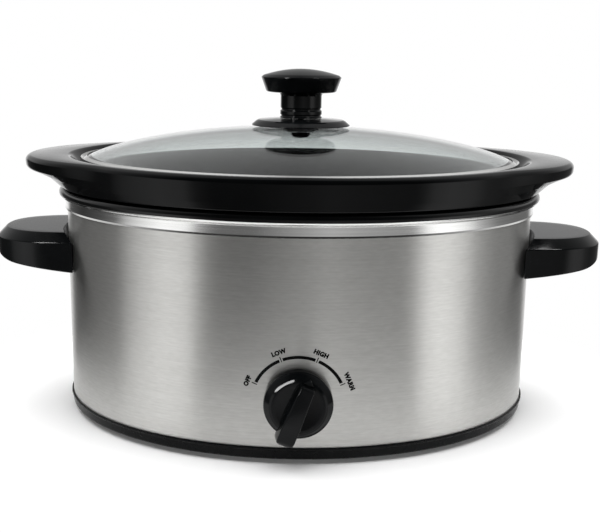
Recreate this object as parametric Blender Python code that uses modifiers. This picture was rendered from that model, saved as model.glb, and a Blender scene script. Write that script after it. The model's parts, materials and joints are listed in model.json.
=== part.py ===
"""Oval slow cooker: heated steel base, lift-out stoneware crock, glass lid and rotary control.

Sizes are in millimetres and degrees; MM turns millimetres into Blender's metres.
The front faces -Y, X is the long axis, +Z is up and the feet stand on Z = 0.
"""

import math

import bmesh
import bpy
from mathutils import Matrix, Vector

MM = 0.001

# Body oval: the outer face of the steel wrap. Every "offset" below is measured outwards from it.
HALF_LENGTH = 151.0
HALF_WIDTH = 119.0
OVAL_SEGMENTS = 40
ROUND_SEGMENTS = 20
FINE_SEGMENTS = 28
SMALL_SEGMENTS = 12
GAP = 0.3

# Heights
FLOOR_UNDERSIDE = 6.4
FLOOR_TOP = 8.9
WRAP_BOTTOM = 8.2
WRAP_TOP = 138.4
WELL_FLOOR = 26.0
RIM_TOP = 146.0
CROCK_BOTTOM = 30.0
CROCK_FLOOR = 40.0
CROCK_TOP = 165.7
GLASS_EDGE = 162.2
GLASS_RISE = 22.0

# Walls
WRAP_WALL = 0.6
WELL_WALL = 0.7
GLASS_WALL = 4.0
HANDLE_WALL = 3.0

# Lid plan
GLASS_HALF_LENGTH = HALF_LENGTH - 10.1
GLASS_HALF_WIDTH = HALF_WIDTH - 10.1
LID_SCREW_HOLE = 3.4
KNOB_SEAT = 189.4

# Heating band and its terminals
BAND_BOTTOM = 55.0
BAND_TOP = 98.0
BAND_WALL = 2.0
TERMINAL_STANDOFF = 1.4
TERMINAL_TIP = 47.0
REAR_TERMINAL_ANGLE = 75.0

# Thermal fuse, under the well's floor
FUSE_Y = 30.0
FUSE_HEIGHT = 22.2
FUSE_START = 36.0
FUSE_END = 50.0

# Terminal block
BLOCK_FRONT = 80.0

# Dial
DIAL_HEIGHT = 38.0
DIAL_RADIUS = 19.8
DIAL_CLEARANCE = 0.9
DIAL_FACE = 10.5
DIAL_REACH = 17.0
DIAL_POINTS_AT = 21.5
SHAFT_RADIUS = 3.0
BAR_WIDTH = 9.0
BAR_HEAD = 14.0
BAR_TAIL = 23.8
POINTER_TIP = 18.6

# Switch behind the dial
SWITCH_FRONT = -HALF_WIDTH + 2.4
SWITCH_DEPTH = 12.0
SWITCH_HALF_HEIGHT = 11.5
SWITCH_HALF_WIDTH = 18.0
SWITCH_SCREW_SPREAD = 14.0
BLADE_SETBACK = 10.0
BLADE_DROP = 8.0

# Grips of the crock
GRIP_REACH = 21.3
GRIP_SPREAD = 43.0

# Side handles
HANDLE_TIP = 198.3
HANDLE_HALF_DEPTH = 40.0
HANDLE_TOP = 118.0
HANDLE_CHAMFER = 6.0
HANDLE_BOTTOM = 93.0
HANDLE_TIP_BOTTOM = 99.0
HANDLE_SCREW_HEIGHT = 106.0
HANDLE_SCREW_SPREAD = 18.0

# Cord inlet
INLET_HEIGHT = 24.0
INLET_REACH = 6.5
INLET_BORE = 3.8

FOOT_PLACES = {
    "foot_front_left": (-92.0, -58.0),
    "foot_front_right": (92.0, -58.0),
    "foot_rear_left": (-92.0, 58.0),
    "foot_rear_right": (92.0, 58.0),
}

# The dial stands out further than the inlet, so the oval's centre sits behind the middle of the box.
CENTRE_Y = (DIAL_REACH - INLET_REACH) / 2


def clear_scene():
    for obj in list(bpy.data.objects):
        bpy.data.objects.remove(obj, do_unlink=True)


def new_collection(name, hidden=False):
    collection = bpy.data.collections.new(name)
    collection.hide_render = hidden
    bpy.context.scene.collection.children.link(collection)
    return collection


def new_material(name, colour, roughness, metallic=0.0, alpha=1.0):
    material = bpy.data.materials.new(name)
    material.use_nodes = True
    shader = material.node_tree.nodes["Principled BSDF"]
    shader.inputs["Base Color"].default_value = (*colour, 1.0)
    shader.inputs["Roughness"].default_value = roughness
    shader.inputs["Metallic"].default_value = metallic
    shader.inputs["Alpha"].default_value = alpha
    return material


clear_scene()
PARTS = new_collection("slow_cooker")
CUTTERS = new_collection("cutters", hidden=True)

STEEL_WRAP = new_material("brushed_wrap", (0.55, 0.54, 0.52), 0.32, 1.0)
STEEL_RIM = new_material("polished_rim", (0.70, 0.70, 0.70), 0.15, 1.0)
STEEL_PLATED = new_material("plated_steel", (0.60, 0.60, 0.61), 0.30, 1.0)
BRASS = new_material("brass_blade", (0.80, 0.60, 0.25), 0.30, 1.0)
BLACK_PLASTIC = new_material("black_plastic", (0.012, 0.012, 0.013), 0.12)
BLACK_GLAZE = new_material("black_glaze", (0.008, 0.008, 0.009), 0.06)
CLEAR_GLASS = new_material("clear_glass", (0.90, 0.95, 0.94), 0.02, 0.0, 0.35)
RUBBER = new_material("black_rubber", (0.02, 0.02, 0.02), 0.70)
SILICONE = new_material("grey_silicone", (0.30, 0.30, 0.31), 0.55)
HEATER_CLOTH = new_material("heater_cloth", (0.72, 0.70, 0.62), 0.85)
SWITCH_RESIN = new_material("switch_resin", (0.70, 0.66, 0.56), 0.50)
SLEEVE = new_material("lead_sleeve", (0.60, 0.58, 0.54), 0.70)

ASSEMBLY = bpy.data.objects.new("slow_cooker_centre", None)
ASSEMBLY.location = (0.0, CENTRE_Y * MM, 0.0)
PARTS.objects.link(ASSEMBLY)

DIAL_AXIS = bpy.data.objects.new("dial_axis", None)
DIAL_AXIS.parent = ASSEMBLY
DIAL_AXIS.location = (0.0, -HALF_WIDTH * MM, DIAL_HEIGHT * MM)
DIAL_AXIS.rotation_euler = (
    Matrix.Rotation(math.radians(DIAL_POINTS_AT), 3, "Y") @ Matrix.Rotation(math.radians(90), 3, "X")
).to_euler()
PARTS.objects.link(DIAL_AXIS)


def place(name, mesh, material, parent=None, sharp_angle=40.0):
    """Puts a mesh in the parts collection as a named, smooth-shaded object."""
    obj = bpy.data.objects.new(name, mesh)
    PARTS.objects.link(obj)
    obj.parent = parent or ASSEMBLY
    if not mesh.materials:
        mesh.materials.append(material)
    mesh.shade_smooth()
    mesh.set_sharp_from_angle(angle=math.radians(sharp_angle))
    return obj


def as_cutter(obj):
    """Moves an object to the cutters, where it only shapes others."""
    PARTS.objects.unlink(obj)
    CUTTERS.objects.link(obj)
    obj.hide_render = True
    obj.display_type = "WIRE"
    return obj


def combine(target, other, operation):
    modifier = target.modifiers.new(f"{operation.lower()}_{other.name}", "BOOLEAN")
    modifier.operation = operation
    modifier.solver = "EXACT"
    modifier.object = as_cutter(other)


def cut(target, *tools):
    for tool in tools:
        combine(target, tool, "DIFFERENCE")


def join(target, *pieces):
    for piece in pieces:
        combine(target, piece, "UNION")


def oval(offset, height, segments=OVAL_SEGMENTS, start=0.0, sweep=360.0):
    """Points of the line that runs `offset` outside the body oval at one height."""
    count = segments if sweep == 360.0 else segments + 1
    points = []
    for step in range(count):
        angle = math.radians(start + sweep * step / segments)
        run, rise = HALF_WIDTH * math.cos(angle), HALF_LENGTH * math.sin(angle)
        length = math.hypot(run, rise)
        x = HALF_LENGTH * math.cos(angle) + offset * run / length
        y = HALF_WIDTH * math.sin(angle) + offset * rise / length
        points.append(Vector((x, y, height)))
    return points


def wrap_x(y, offset=0.0):
    """The X of the body oval, moved out by `offset`, at one Y."""
    return math.sqrt(1 - (y / (HALF_WIDTH + offset)) ** 2) * (HALF_LENGTH + offset)


def loft(rings, closed_rings=True, back_to_start=False, caps=False):
    """A mesh that joins rings of equal count, in order."""
    bm = bmesh.new()
    rows = [[bm.verts.new(point * MM) for point in ring] for ring in rings]
    pairs = list(zip(rows, rows[1:]))
    if back_to_start:
        pairs.append((rows[-1], rows[0]))
    for low, high in pairs:
        count = len(low)
        for i in range(count if closed_rings else count - 1):
            j = (i + 1) % count
            bm.faces.new((low[i], low[j], high[j], high[i]))
    if caps and closed_rings:
        bm.faces.new(rows[0])
        bm.faces.new(rows[-1])
    if caps and not closed_rings:
        bm.faces.new([row[0] for row in rows])
        bm.faces.new([row[-1] for row in rows])
    if back_to_start or caps:
        bmesh.ops.recalc_face_normals(bm, faces=bm.faces)
    mesh = bpy.data.meshes.new("loft")
    bm.to_mesh(mesh)
    bm.free()
    return mesh


def oval_solid(name, profile, material):
    """A solid whose outline (offset, height) follows the oval and ends in a flat cap at each end."""
    rings = [oval(offset, height) for offset, height in profile]
    return place(name, loft(rings, caps=True), material)


def oval_strip(name, profile, material, start, sweep, segments):
    """Part of a ring: its closed section follows the oval between two angles."""
    rings = [oval(offset, height, segments, start, sweep) for offset, height in profile]
    return place(name, loft(rings, False, back_to_start=True, caps=True), material)


def thicken(obj, wall, direction):
    """Gives an open surface its wall: direction 1 grows along the normals and -1 against them."""
    shell = obj.modifiers.new("wall", "SOLIDIFY")
    shell.thickness = wall * MM
    shell.offset = direction


def turned(name, profile, material, parent=None, segments=ROUND_SEGMENTS, ring=False):
    """A turned solid about its own Z. The profile (radius, height) runs down its outer side."""
    bm = bmesh.new()
    points = [bm.verts.new((radius * MM, 0.0, height * MM)) for radius, height in profile]
    for first, second in zip(points, points[1:]):
        bm.edges.new((first, second))
    if ring:
        bm.edges.new((points[-1], points[0]))
    mesh = bpy.data.meshes.new(name)
    bm.to_mesh(mesh)
    bm.free()
    obj = place(name, mesh, material, parent)
    screw = obj.modifiers.new("turn", "SCREW")
    screw.steps = segments
    screw.render_steps = segments
    screw.use_merge_vertices = True
    screw.merge_threshold = 0.00001
    return obj


def rod(name, radius, start, end, material, parent=None, segments=SMALL_SEGMENTS):
    """A round bar between two points."""
    start, end = Vector(start), Vector(end)
    run = end - start
    bm = bmesh.new()
    bmesh.ops.create_cone(
        bm,
        cap_ends=True,
        segments=segments,
        radius1=radius * MM,
        radius2=radius * MM,
        depth=run.length * MM,
    )
    mesh = bpy.data.meshes.new(name)
    bm.to_mesh(mesh)
    bm.free()
    obj = place(name, mesh, material, parent)
    obj.location = (start + end) / 2 * MM
    obj.rotation_euler = run.to_track_quat("Z", "Y").to_euler()
    return obj


def block(name, low, high, material, parent=None, rounding=0.0):
    """A box between two corners, its edges rounded if asked."""
    low, high = Vector(low), Vector(high)
    bm = bmesh.new()
    bmesh.ops.create_cube(bm, size=1.0)
    bmesh.ops.scale(bm, vec=(high - low) * MM, verts=bm.verts)
    mesh = bpy.data.meshes.new(name)
    bm.to_mesh(mesh)
    bm.free()
    obj = place(name, mesh, material, parent)
    obj.location = (low + high) / 2 * MM
    if rounding:
        bevel = obj.modifiers.new("rounded", "BEVEL")
        bevel.width = rounding * MM
        bevel.segments = 2
    return obj


def plate(name, outlines, thickness, material, parent=None):
    """A flat sheet from closed outlines in its own XY; an outline inside another is a hole."""
    curve = bpy.data.curves.new(name, "CURVE")
    curve.dimensions = "2D"
    curve.fill_mode = "BOTH"
    curve.extrude = thickness / 2 * MM
    for outline in outlines:
        spline = curve.splines.new("POLY")
        spline.points.add(len(outline) - 1)
        for point, (x, y) in zip(spline.points, outline):
            point.co = (x * MM, y * MM, 0.0, 1.0)
        spline.use_cyclic_u = True
    curve.materials.append(material)
    obj = bpy.data.objects.new(name, curve)
    PARTS.objects.link(obj)
    obj.parent = parent or ASSEMBLY
    return obj


def arc(radius, angles):
    """Points of a flat arc at the given angles in degrees."""
    turns = [math.radians(angle) for angle in angles]
    return [(radius * math.cos(turn), radius * math.sin(turn)) for turn in turns]


def circle(radius, segments=ROUND_SEGMENTS):
    return arc(radius, [360 * i / segments for i in range(segments)])


def smooth_route(points, steps):
    """Points along a smooth curve through a route's own points."""
    ends = [points[0] * 2 - points[1], *points, points[-1] * 2 - points[-2]]
    route = []
    for i in range(1, len(ends) - 2):
        before, here, there, after = ends[i - 1 : i + 3]
        for step in range(steps):
            t = step / steps
            route.append(
                (
                    here * 2
                    + (there - before) * t
                    + (before * 2 - here * 5 + there * 4 - after) * t**2
                    + (here * 3 - before - there * 3 + after) * t**3
                )
                / 2
            )
    return [*route, points[-1]]


def lead(name, points, radius=1.1):
    """An insulated wire along a smooth route."""
    curve = bpy.data.curves.new(name, "CURVE")
    curve.dimensions = "3D"
    curve.bevel_depth = radius * MM
    curve.bevel_resolution = 1
    curve.use_fill_caps = True
    route = smooth_route([Vector(point) for point in points], 3)
    spline = curve.splines.new("POLY")
    spline.points.add(len(route) - 1)
    for point, place_at in zip(spline.points, route):
        point.co = (*(place_at * MM), 1.0)
    curve.materials.append(SLEEVE)
    obj = bpy.data.objects.new(name, curve)
    PARTS.objects.link(obj)
    obj.parent = ASSEMBLY
    return obj


def build_base():
    """The moulded tray: a floor, a rim, and a proud lip round the slot that holds the wrap."""
    pan = oval_solid(
        "base_pan",
        [
            (-30.0, FLOOR_TOP),
            (-3.0, FLOOR_TOP),
            (-3.0, WRAP_BOTTOM - GAP),
            (GAP, WRAP_BOTTOM - GAP),
            (GAP, 10.4),
            (1.2, 10.4),
            (1.2, 9.4),
            (0.5, 8.6),
            (0.2, 4.6),
            (-0.8, 3.0),
            (-3.6, 3.0),
            (-4.6, FLOOR_UNDERSIDE),
            (-30.0, FLOOR_UNDERSIDE),
        ],
        BLACK_PLASTIC,
    )
    below, above = FLOOR_UNDERSIDE - 2, FLOOR_TOP + 2
    cut(pan, rod("tie_hole", 2.9, (0, 0, below), (0, 0, above), BLACK_PLASTIC))
    for name, (x, y) in FOOT_PLACES.items():
        cut(pan, rod(f"{name}_hole", 3.3, (x, y, below), (x, y, above), BLACK_PLASTIC))
    for x in (-52.0, -40.0, 40.0, 52.0):
        cut(pan, block(f"vent_{x:+.0f}", (x - 1.5, -20, below), (x + 1.5, 20, above), BLACK_PLASTIC))
    for name, (x, y) in FOOT_PLACES.items():
        build_foot(name, x, y)


def build_foot(name, x, y):
    """A rubber foot: a pad below the floor, a neck through it and a barbed head above."""
    neck_low, neck_high = FLOOR_UNDERSIDE - GAP, FLOOR_TOP + GAP
    foot = turned(
        name,
        [
            (0.0, neck_high + 3.5),
            (2.2, neck_high + 3.5),
            (4.4, neck_high),
            (3.0, neck_high),
            (3.0, neck_low),
            (8.5, neck_low),
            (9.0, 1.2),
            (8.0, 0.0),
            (0.0, 0.0),
        ],
        RUBBER,
        segments=SMALL_SEGMENTS,
    )
    foot.location = (x * MM, y * MM, 0.0)


def build_wrap():
    """The steel wrap, with its holes for the shaft, the switch, the handles and the cord inlet."""
    surface = loft([oval(0.0, WRAP_BOTTOM), oval(0.0, WRAP_TOP)])
    wrap = place("outer_shell", surface, STEEL_WRAP)
    thicken(wrap, WRAP_WALL, -1)
    front, back = -HALF_WIDTH, HALF_WIDTH
    through = 8.0
    for name, radius, x in (
        ("shaft_hole", 4.2, 0.0),
        ("switch_hole_left", 1.9, -SWITCH_SCREW_SPREAD),
        ("switch_hole_right", 1.9, SWITCH_SCREW_SPREAD),
    ):
        start = (x, front - through, DIAL_HEIGHT)
        end = (x, front + through, DIAL_HEIGHT)
        cut(wrap, rod(name, radius, start, end, STEEL_WRAP))
    for side in (-1, 1):
        for y in (-HANDLE_SCREW_SPREAD, HANDLE_SCREW_SPREAD):
            start = (side * (HALF_LENGTH - 12), y, HANDLE_SCREW_HEIGHT)
            end = (side * (HALF_LENGTH + 6), y, HANDLE_SCREW_HEIGHT)
            cut(wrap, rod(f"handle_hole_{side}_{y:.0f}", 2.2, start, end, STEEL_WRAP))
    start = (0, back - through, INLET_HEIGHT)
    end = (0, back + through, INLET_HEIGHT)
    cut(wrap, rod("inlet_hole", 6.4, start, end, STEEL_WRAP))


def well_offset(height):
    """How far inside the body oval the well's straight wall lies at one height."""
    return -19.5 + (height - 34.0) * (12.5 / 104.0)


def build_liner():
    """The formed well: floor, tapered wall, a flared and rolled top, and a skirt over the wrap."""
    section = [
        (-30.0, WELL_FLOOR),
        (-26.0, WELL_FLOOR),
        (-21.4, 28.0),
        (well_offset(34.0), 34.0),
        (well_offset(138.0), 138.0),
        (-5.6, 142.4),
        (-3.6, 144.8),
        (-1.2, RIM_TOP - 0.2),
        (1.4, RIM_TOP),
        (3.6, RIM_TOP - 0.7),
        (4.9, RIM_TOP - 2.4),
        (5.0, 141.4),
        (3.8, 139.9),
        (1.9, 139.2),
        (1.1, 138.0),
        (1.05, 135.4),
    ]
    rings = [oval(offset, height) for offset, height in section]
    bm = bmesh.new()
    bm.from_mesh(loft(rings))
    bm.verts.ensure_lookup_table()
    bm.faces.new(bm.verts[:OVAL_SEGMENTS])
    bmesh.ops.recalc_face_normals(bm, faces=bm.faces)
    floor = min(bm.faces, key=lambda face: face.calc_center_median().z)
    if floor.normal.z < 0:
        bmesh.ops.reverse_faces(bm, faces=bm.faces)
    mesh = bpy.data.meshes.new("liner")
    bm.to_mesh(mesh)
    bm.free()
    liner = place("liner", mesh, STEEL_RIM)
    thicken(liner, WELL_WALL, -1)


def build_heater():
    """The cloth heating band, the strap that clamps it, its terminals, and the fuse under the well."""
    inner_low = well_offset(BAND_BOTTOM) + WELL_WALL + GAP
    inner_high = well_offset(BAND_TOP) + WELL_WALL + GAP
    split = 360.0 / OVAL_SEGMENTS
    start, sweep = 90.0 + split, 360.0 - 2 * split
    oval_strip(
        "heater_band",
        [
            (inner_low, BAND_BOTTOM),
            (inner_low + BAND_WALL, BAND_BOTTOM),
            (inner_high + BAND_WALL, BAND_TOP),
            (inner_high, BAND_TOP),
        ],
        HEATER_CLOTH,
        start,
        sweep,
        OVAL_SEGMENTS - 2,
    )
    strap_low, strap_high = 72.0, 82.0
    strap_wall = 0.8
    outer_low = well_offset(strap_low) + WELL_WALL + BAND_WALL + 2 * GAP
    outer_high = well_offset(strap_high) + WELL_WALL + BAND_WALL + 2 * GAP
    strap = oval_strip(
        "heater_strap",
        [
            (outer_low, strap_low),
            (outer_low + strap_wall, strap_low),
            (outer_high + strap_wall, strap_high),
            (outer_high, strap_high),
        ],
        STEEL_PLATED,
        start,
        sweep,
        OVAL_SEGMENTS - 2,
    )
    clamp_strap(strap, oval(outer_high, 0.0, 1, start, 1.0)[0], strap_low, strap_high)
    build_heater_terminals(inner_low + BAND_WALL + TERMINAL_STANDOFF)
    build_fuse()


def clamp_strap(strap, end, low, high):
    """Gives the strap its two ears, and draws them together with a bolt and a nut."""
    middle = (low + high) / 2
    ear_top = end.y + 6.0
    bolt_y = ear_top - 2.6
    for side in (-1, 1):
        ear_x = side * (abs(end.x) + 0.4)
        ear_low = (ear_x - 0.5, end.y - 0.2, low + 0.5)
        ear_high = (ear_x + 0.5, ear_top, high - 0.5)
        join(strap, block(f"strap_ear_{side}", ear_low, ear_high, STEEL_PLATED))
    span = abs(end.x) + 4.0
    cut(strap, rod("strap_bolt_hole", 1.6, (-span, bolt_y, middle), (span, bolt_y, middle), STEEL_PLATED))
    face = abs(end.x) + 0.9 + GAP
    shank_end = (face + 3.2, bolt_y, middle)
    bolt = rod("strap_bolt", 1.3, (-face - 0.2, bolt_y, middle), shank_end, STEEL_PLATED)
    head_start, head_end = (-face - 2.0, bolt_y, middle), (-face, bolt_y, middle)
    join(bolt, rod("strap_bolt_head", 2.3, head_start, head_end, STEEL_PLATED))
    nut = plate("strap_nut", [circle(2.5, 6), circle(1.6, 12)], 2.0, STEEL_PLATED)
    nut.rotation_euler = (0.0, math.radians(90), 0.0)
    nut.location = ((face + 1.1) * MM, bolt_y * MM, middle * MM)


def build_heater_terminals(offset):
    """Three blades at the foot of the heating band."""
    length = 13.0
    for name, angle in (("left", 180.0), ("right", 0.0), ("rear", REAR_TERMINAL_ANGLE)):
        foot = oval(offset, 0.0, 1, angle, 1.0)[0]
        blade = block(f"heater_terminal_{name}", (-0.4, -3.0, 0.0), (0.4, 3.0, length), BRASS)
        facing = math.atan2(foot.y / HALF_WIDTH**2, foot.x / HALF_LENGTH**2)
        blade.rotation_euler = (0.0, 0.0, facing)
        blade.location = (foot.x * MM, foot.y * MM, (TERMINAL_TIP + length / 2) * MM)


def build_fuse():
    """A round thermal fuse and the clip that saddles it, close under the well's floor."""
    start, end = (FUSE_START, FUSE_Y, FUSE_HEIGHT), (FUSE_END, FUSE_Y, FUSE_HEIGHT)
    rod("thermal_fuse", 2.0, start, end, STEEL_PLATED)
    foot_top = WELL_FLOOR - WELL_WALL - GAP - FUSE_HEIGHT
    sheet = 0.8
    inner, outer, foot_end = 2.3, 2.3 + sheet, 7.0
    outline = [
        (outer, foot_top - sheet),
        *arc(outer, range(0, -181, -30)),
        (-outer, foot_top - sheet),
        (-foot_end, foot_top - sheet),
        (-foot_end, foot_top),
        (-inner, foot_top),
        *arc(inner, range(-180, 1, 30)),
        (inner, foot_top),
        (foot_end, foot_top),
        (foot_end, foot_top - sheet),
    ]
    clip = plate("fuse_clip", [outline], 6.0, STEEL_PLATED)
    clip.rotation_euler = (math.radians(90), 0.0, math.radians(90))
    clip.location = ((FUSE_START + FUSE_END) / 2 * MM, FUSE_Y * MM, FUSE_HEIGHT * MM)


def build_tie():
    """The stud under the well, and the washer and nut that pull the base up to it."""
    flange_top = WELL_FLOOR - WELL_WALL - GAP
    turned(
        "tie_stud",
        [
            (0.0, flange_top),
            (10.0, flange_top),
            (10.0, flange_top - 1.2),
            (2.5, flange_top - 1.6),
            (2.5, 1.6),
            (0.0, 1.6),
        ],
        STEEL_PLATED,
        segments=SMALL_SEGMENTS,
    )
    washer = plate("tie_washer", [circle(7.0, 16), circle(2.9, 12)], 0.9, STEEL_PLATED)
    washer.location = (0.0, 0.0, (FLOOR_UNDERSIDE - GAP - 0.45) * MM)
    nut = plate("tie_nut", [circle(4.6, 6), circle(2.8, 12)], 2.6, STEEL_PLATED)
    nut.location = (0.0, 0.0, 3.5 * MM)


def build_switch():
    """The rotary switch behind the wrap: its housing and cover, then its screws, blades and rotor."""
    front, back = SWITCH_FRONT, SWITCH_FRONT + SWITCH_DEPTH
    low, high = DIAL_HEIGHT - SWITCH_HALF_HEIGHT, DIAL_HEIGHT + SWITCH_HALF_HEIGHT
    wide = SWITCH_HALF_WIDTH
    housing = block("switch_housing", (-wide, front, low), (wide, back, high), SWITCH_RESIN)
    cavity_low, cavity_high = (-10.5, front + 2.5, low + 1.8), (10.5, back + 5, high - 1.8)
    cut(housing, block("switch_cavity", cavity_low, cavity_high, SWITCH_RESIN))
    start, end = (0, front - 4, DIAL_HEIGHT), (0, front + 5, DIAL_HEIGHT)
    cut(housing, rod("housing_shaft_hole", SHAFT_RADIUS + 0.4, start, end, SWITCH_RESIN))
    cover = back + GAP
    block("switch_cover", (-wide, cover, low), (wide, cover + 1.5, high), SWITCH_RESIN)
    for name, x in (("left", -SWITCH_SCREW_SPREAD), ("right", SWITCH_SCREW_SPREAD)):
        build_switch_screw(housing, name, x)
    for name, x in (("left", -7.0), ("centre", 0.0), ("right", 7.0)):
        build_switch_blade(housing, name, x, low)
    build_rotor()


def build_switch_screw(housing, name, x):
    """A screw from the front that draws the switch up to the wrap, and its hole in the housing."""
    start, end = (x, SWITCH_FRONT - 4, DIAL_HEIGHT), (x, SWITCH_FRONT + 8, DIAL_HEIGHT)
    cut(housing, rod(f"housing_screw_hole_{name}", 1.8, start, end, SWITCH_RESIN))
    screw = turned(
        f"switch_screw_{name}",
        [(0.0, 2.0), (1.8, 1.8), (2.8, 0.9), (2.8, 0.35), (1.5, 0.35), (1.5, -6.0), (0.0, -6.6)],
        STEEL_PLATED,
        segments=SMALL_SEGMENTS,
    )
    screw.rotation_euler = (math.radians(90), 0.0, 0.0)
    screw.location = (x * MM, (-HALF_WIDTH + 0.55) * MM, DIAL_HEIGHT * MM)


def build_switch_blade(housing, name, x, low):
    """A blade that hangs out of a slot in the housing's underside."""
    y = SWITCH_FRONT + BLADE_SETBACK
    slot_low, slot_high = (x - 3.0, y - 0.7, low - 2.0), (x + 3.0, y + 0.7, low + 4.0)
    cut(housing, block(f"blade_slot_{name}", slot_low, slot_high, SWITCH_RESIN))
    blade_low, blade_high = (x - 2.7, y - 0.4, low - BLADE_DROP), (x + 2.7, y + 0.4, low + 3.2)
    block(f"switch_terminal_{name}", blade_low, blade_high, BRASS)


def build_rotor():
    """The dial's shaft and the three-lobed cam on it, both on the dial's axis."""
    rod("switch_shaft", SHAFT_RADIUS, (0, 0, -13.9), (0, 0, DIAL_FACE - 3.0), STEEL_PLATED, DIAL_AXIS)
    cam = []
    for angle in range(0, 360, 15):
        cam += arc(7.6 + 0.9 * math.cos(math.radians(3 * angle)), [angle])
    rotor = plate("switch_rotor", [cam, circle(SHAFT_RADIUS + 0.2, 12)], 4.0, BLACK_PLASTIC, DIAL_AXIS)
    rotor.location = (0.0, 0.0, -8.2 * MM)


def build_control_knob():
    """The dial: a hollow skirted disc, a grip bar that overhangs one side, and a pointer."""
    hub = 5.6
    knob = turned(
        "control_knob",
        [
            (0.0, DIAL_FACE),
            (9.0, DIAL_FACE - 0.6),
            (16.5, DIAL_FACE - 0.9),
            (18.8, DIAL_FACE - 1.3),
            (DIAL_RADIUS - 0.2, DIAL_FACE - 2.6),
            (DIAL_RADIUS, DIAL_CLEARANCE),
            (DIAL_RADIUS - 1.6, DIAL_CLEARANCE),
            (DIAL_RADIUS - 1.9, DIAL_FACE - 3.4),
            (hub, DIAL_FACE - 3.2),
            (hub, DIAL_CLEARANCE + 0.4),
            (SHAFT_RADIUS + 0.2, DIAL_CLEARANCE + 0.4),
            (SHAFT_RADIUS + 0.2, DIAL_FACE - 2.7),
            (0.0, DIAL_FACE - 2.7),
        ],
        BLACK_PLASTIC,
        DIAL_AXIS,
        segments=FINE_SEGMENTS,
    )
    root = DIAL_FACE - 2.2
    bar_low, bar_high = (-BAR_WIDTH / 2, -BAR_TAIL, root), (BAR_WIDTH / 2, BAR_HEAD, DIAL_REACH)
    bar = block("grip_bar", bar_low, bar_high, BLACK_PLASTIC, DIAL_AXIS, 1.8)
    pointer_low, pointer_high = (-1.4, BAR_HEAD - 2.0, root), (1.4, POINTER_TIP, DIAL_FACE + 2.0)
    join(knob, bar, block("pointer", pointer_low, pointer_high, BLACK_PLASTIC, DIAL_AXIS, 0.5))


def handle_outline(inset, gap, height, tip_height=None):
    """The handle's plan: a blunt D whose straight side follows the wrap."""
    arc_steps, back_steps = 16, 6
    depth = HANDLE_HALF_DEPTH - inset
    root = wrap_x(depth, gap)
    bluntness = 2 / 2.35
    points = []
    for i in range(arc_steps + 1):
        angle = math.radians(-90 + 180 * i / arc_steps)
        cosine, sine = max(math.cos(angle), 0.0), math.sin(angle)
        reach = cosine**bluntness
        across = math.copysign(abs(sine) ** bluntness, sine)
        drop = 0.0 if tip_height is None else (tip_height - height) * reach
        points.append(Vector((root + (HANDLE_TIP - inset - root) * reach, depth * across, height + drop)))
    for i in range(1, back_steps):
        y = depth * (1 - 2 * i / back_steps)
        points.append(Vector((wrap_x(y, gap), y, height)))
    return points


def build_handles():
    """Two side handles, hollow below, each with two bosses and two screws from inside the wrap."""
    wall = HANDLE_WALL
    shoulder = HANDLE_TOP - HANDLE_CHAMFER
    rings = [
        handle_outline(HANDLE_CHAMFER, GAP, HANDLE_TOP),
        handle_outline(HANDLE_CHAMFER * 0.45, GAP, HANDLE_TOP - HANDLE_CHAMFER * 0.35),
        handle_outline(0.0, GAP, shoulder),
        handle_outline(0.0, GAP, HANDLE_BOTTOM, HANDLE_TIP_BOTTOM),
        handle_outline(wall, GAP + wall, HANDLE_BOTTOM, HANDLE_TIP_BOTTOM),
        handle_outline(wall, GAP + wall, shoulder - 1.0),
        handle_outline(HANDLE_CHAMFER + 1.5, GAP + wall, HANDLE_TOP - wall),
    ]
    for side, name in ((1, "right"), (-1, "left")):
        handle = place(f"handle_{name}", loft(rings, caps=True), BLACK_PLASTIC, sharp_angle=30.0)
        handle.rotation_euler = (0.0, 0.0, 0.0 if side > 0 else math.pi)
        ends = ((f"{name}_front", -HANDLE_SCREW_SPREAD), (f"{name}_rear", HANDLE_SCREW_SPREAD))
        for end_name, y in ends:
            join(handle, handle_rod(f"boss_{end_name}", 4.2, side, y, 2.2, 10.0))
        for end_name, y in ends:
            cut(handle, handle_rod(f"bore_{end_name}", 1.8, side, y, -3.0, 8.6))
            build_handle_screw(end_name, side, y)


def handle_rod(name, radius, side, y, start, end):
    """A bar along a handle screw's line, between two distances outside the wrap."""
    face = wrap_x(y)
    low = (side * (face + start), y, HANDLE_SCREW_HEIGHT)
    high = (side * (face + end), y, HANDLE_SCREW_HEIGHT)
    return rod(name, radius, low, high, BLACK_PLASTIC)


def build_handle_screw(end_name, side, y):
    """A screw that holds a handle from inside the wrap."""
    screw = turned(
        f"handle_screw_{end_name}",
        [(0.0, 2.2), (2.2, 2.0), (3.4, 1.0), (3.4, 0.0), (1.5, 0.0), (1.5, -8.8), (0.0, -9.8)],
        STEEL_PLATED,
        segments=SMALL_SEGMENTS,
    )
    screw.rotation_euler = (0.0, math.radians(-90 * side), 0.0)
    screw.location = (side * (wrap_x(y) - 2.0) * MM, y * MM, HANDLE_SCREW_HEIGHT * MM)


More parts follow.
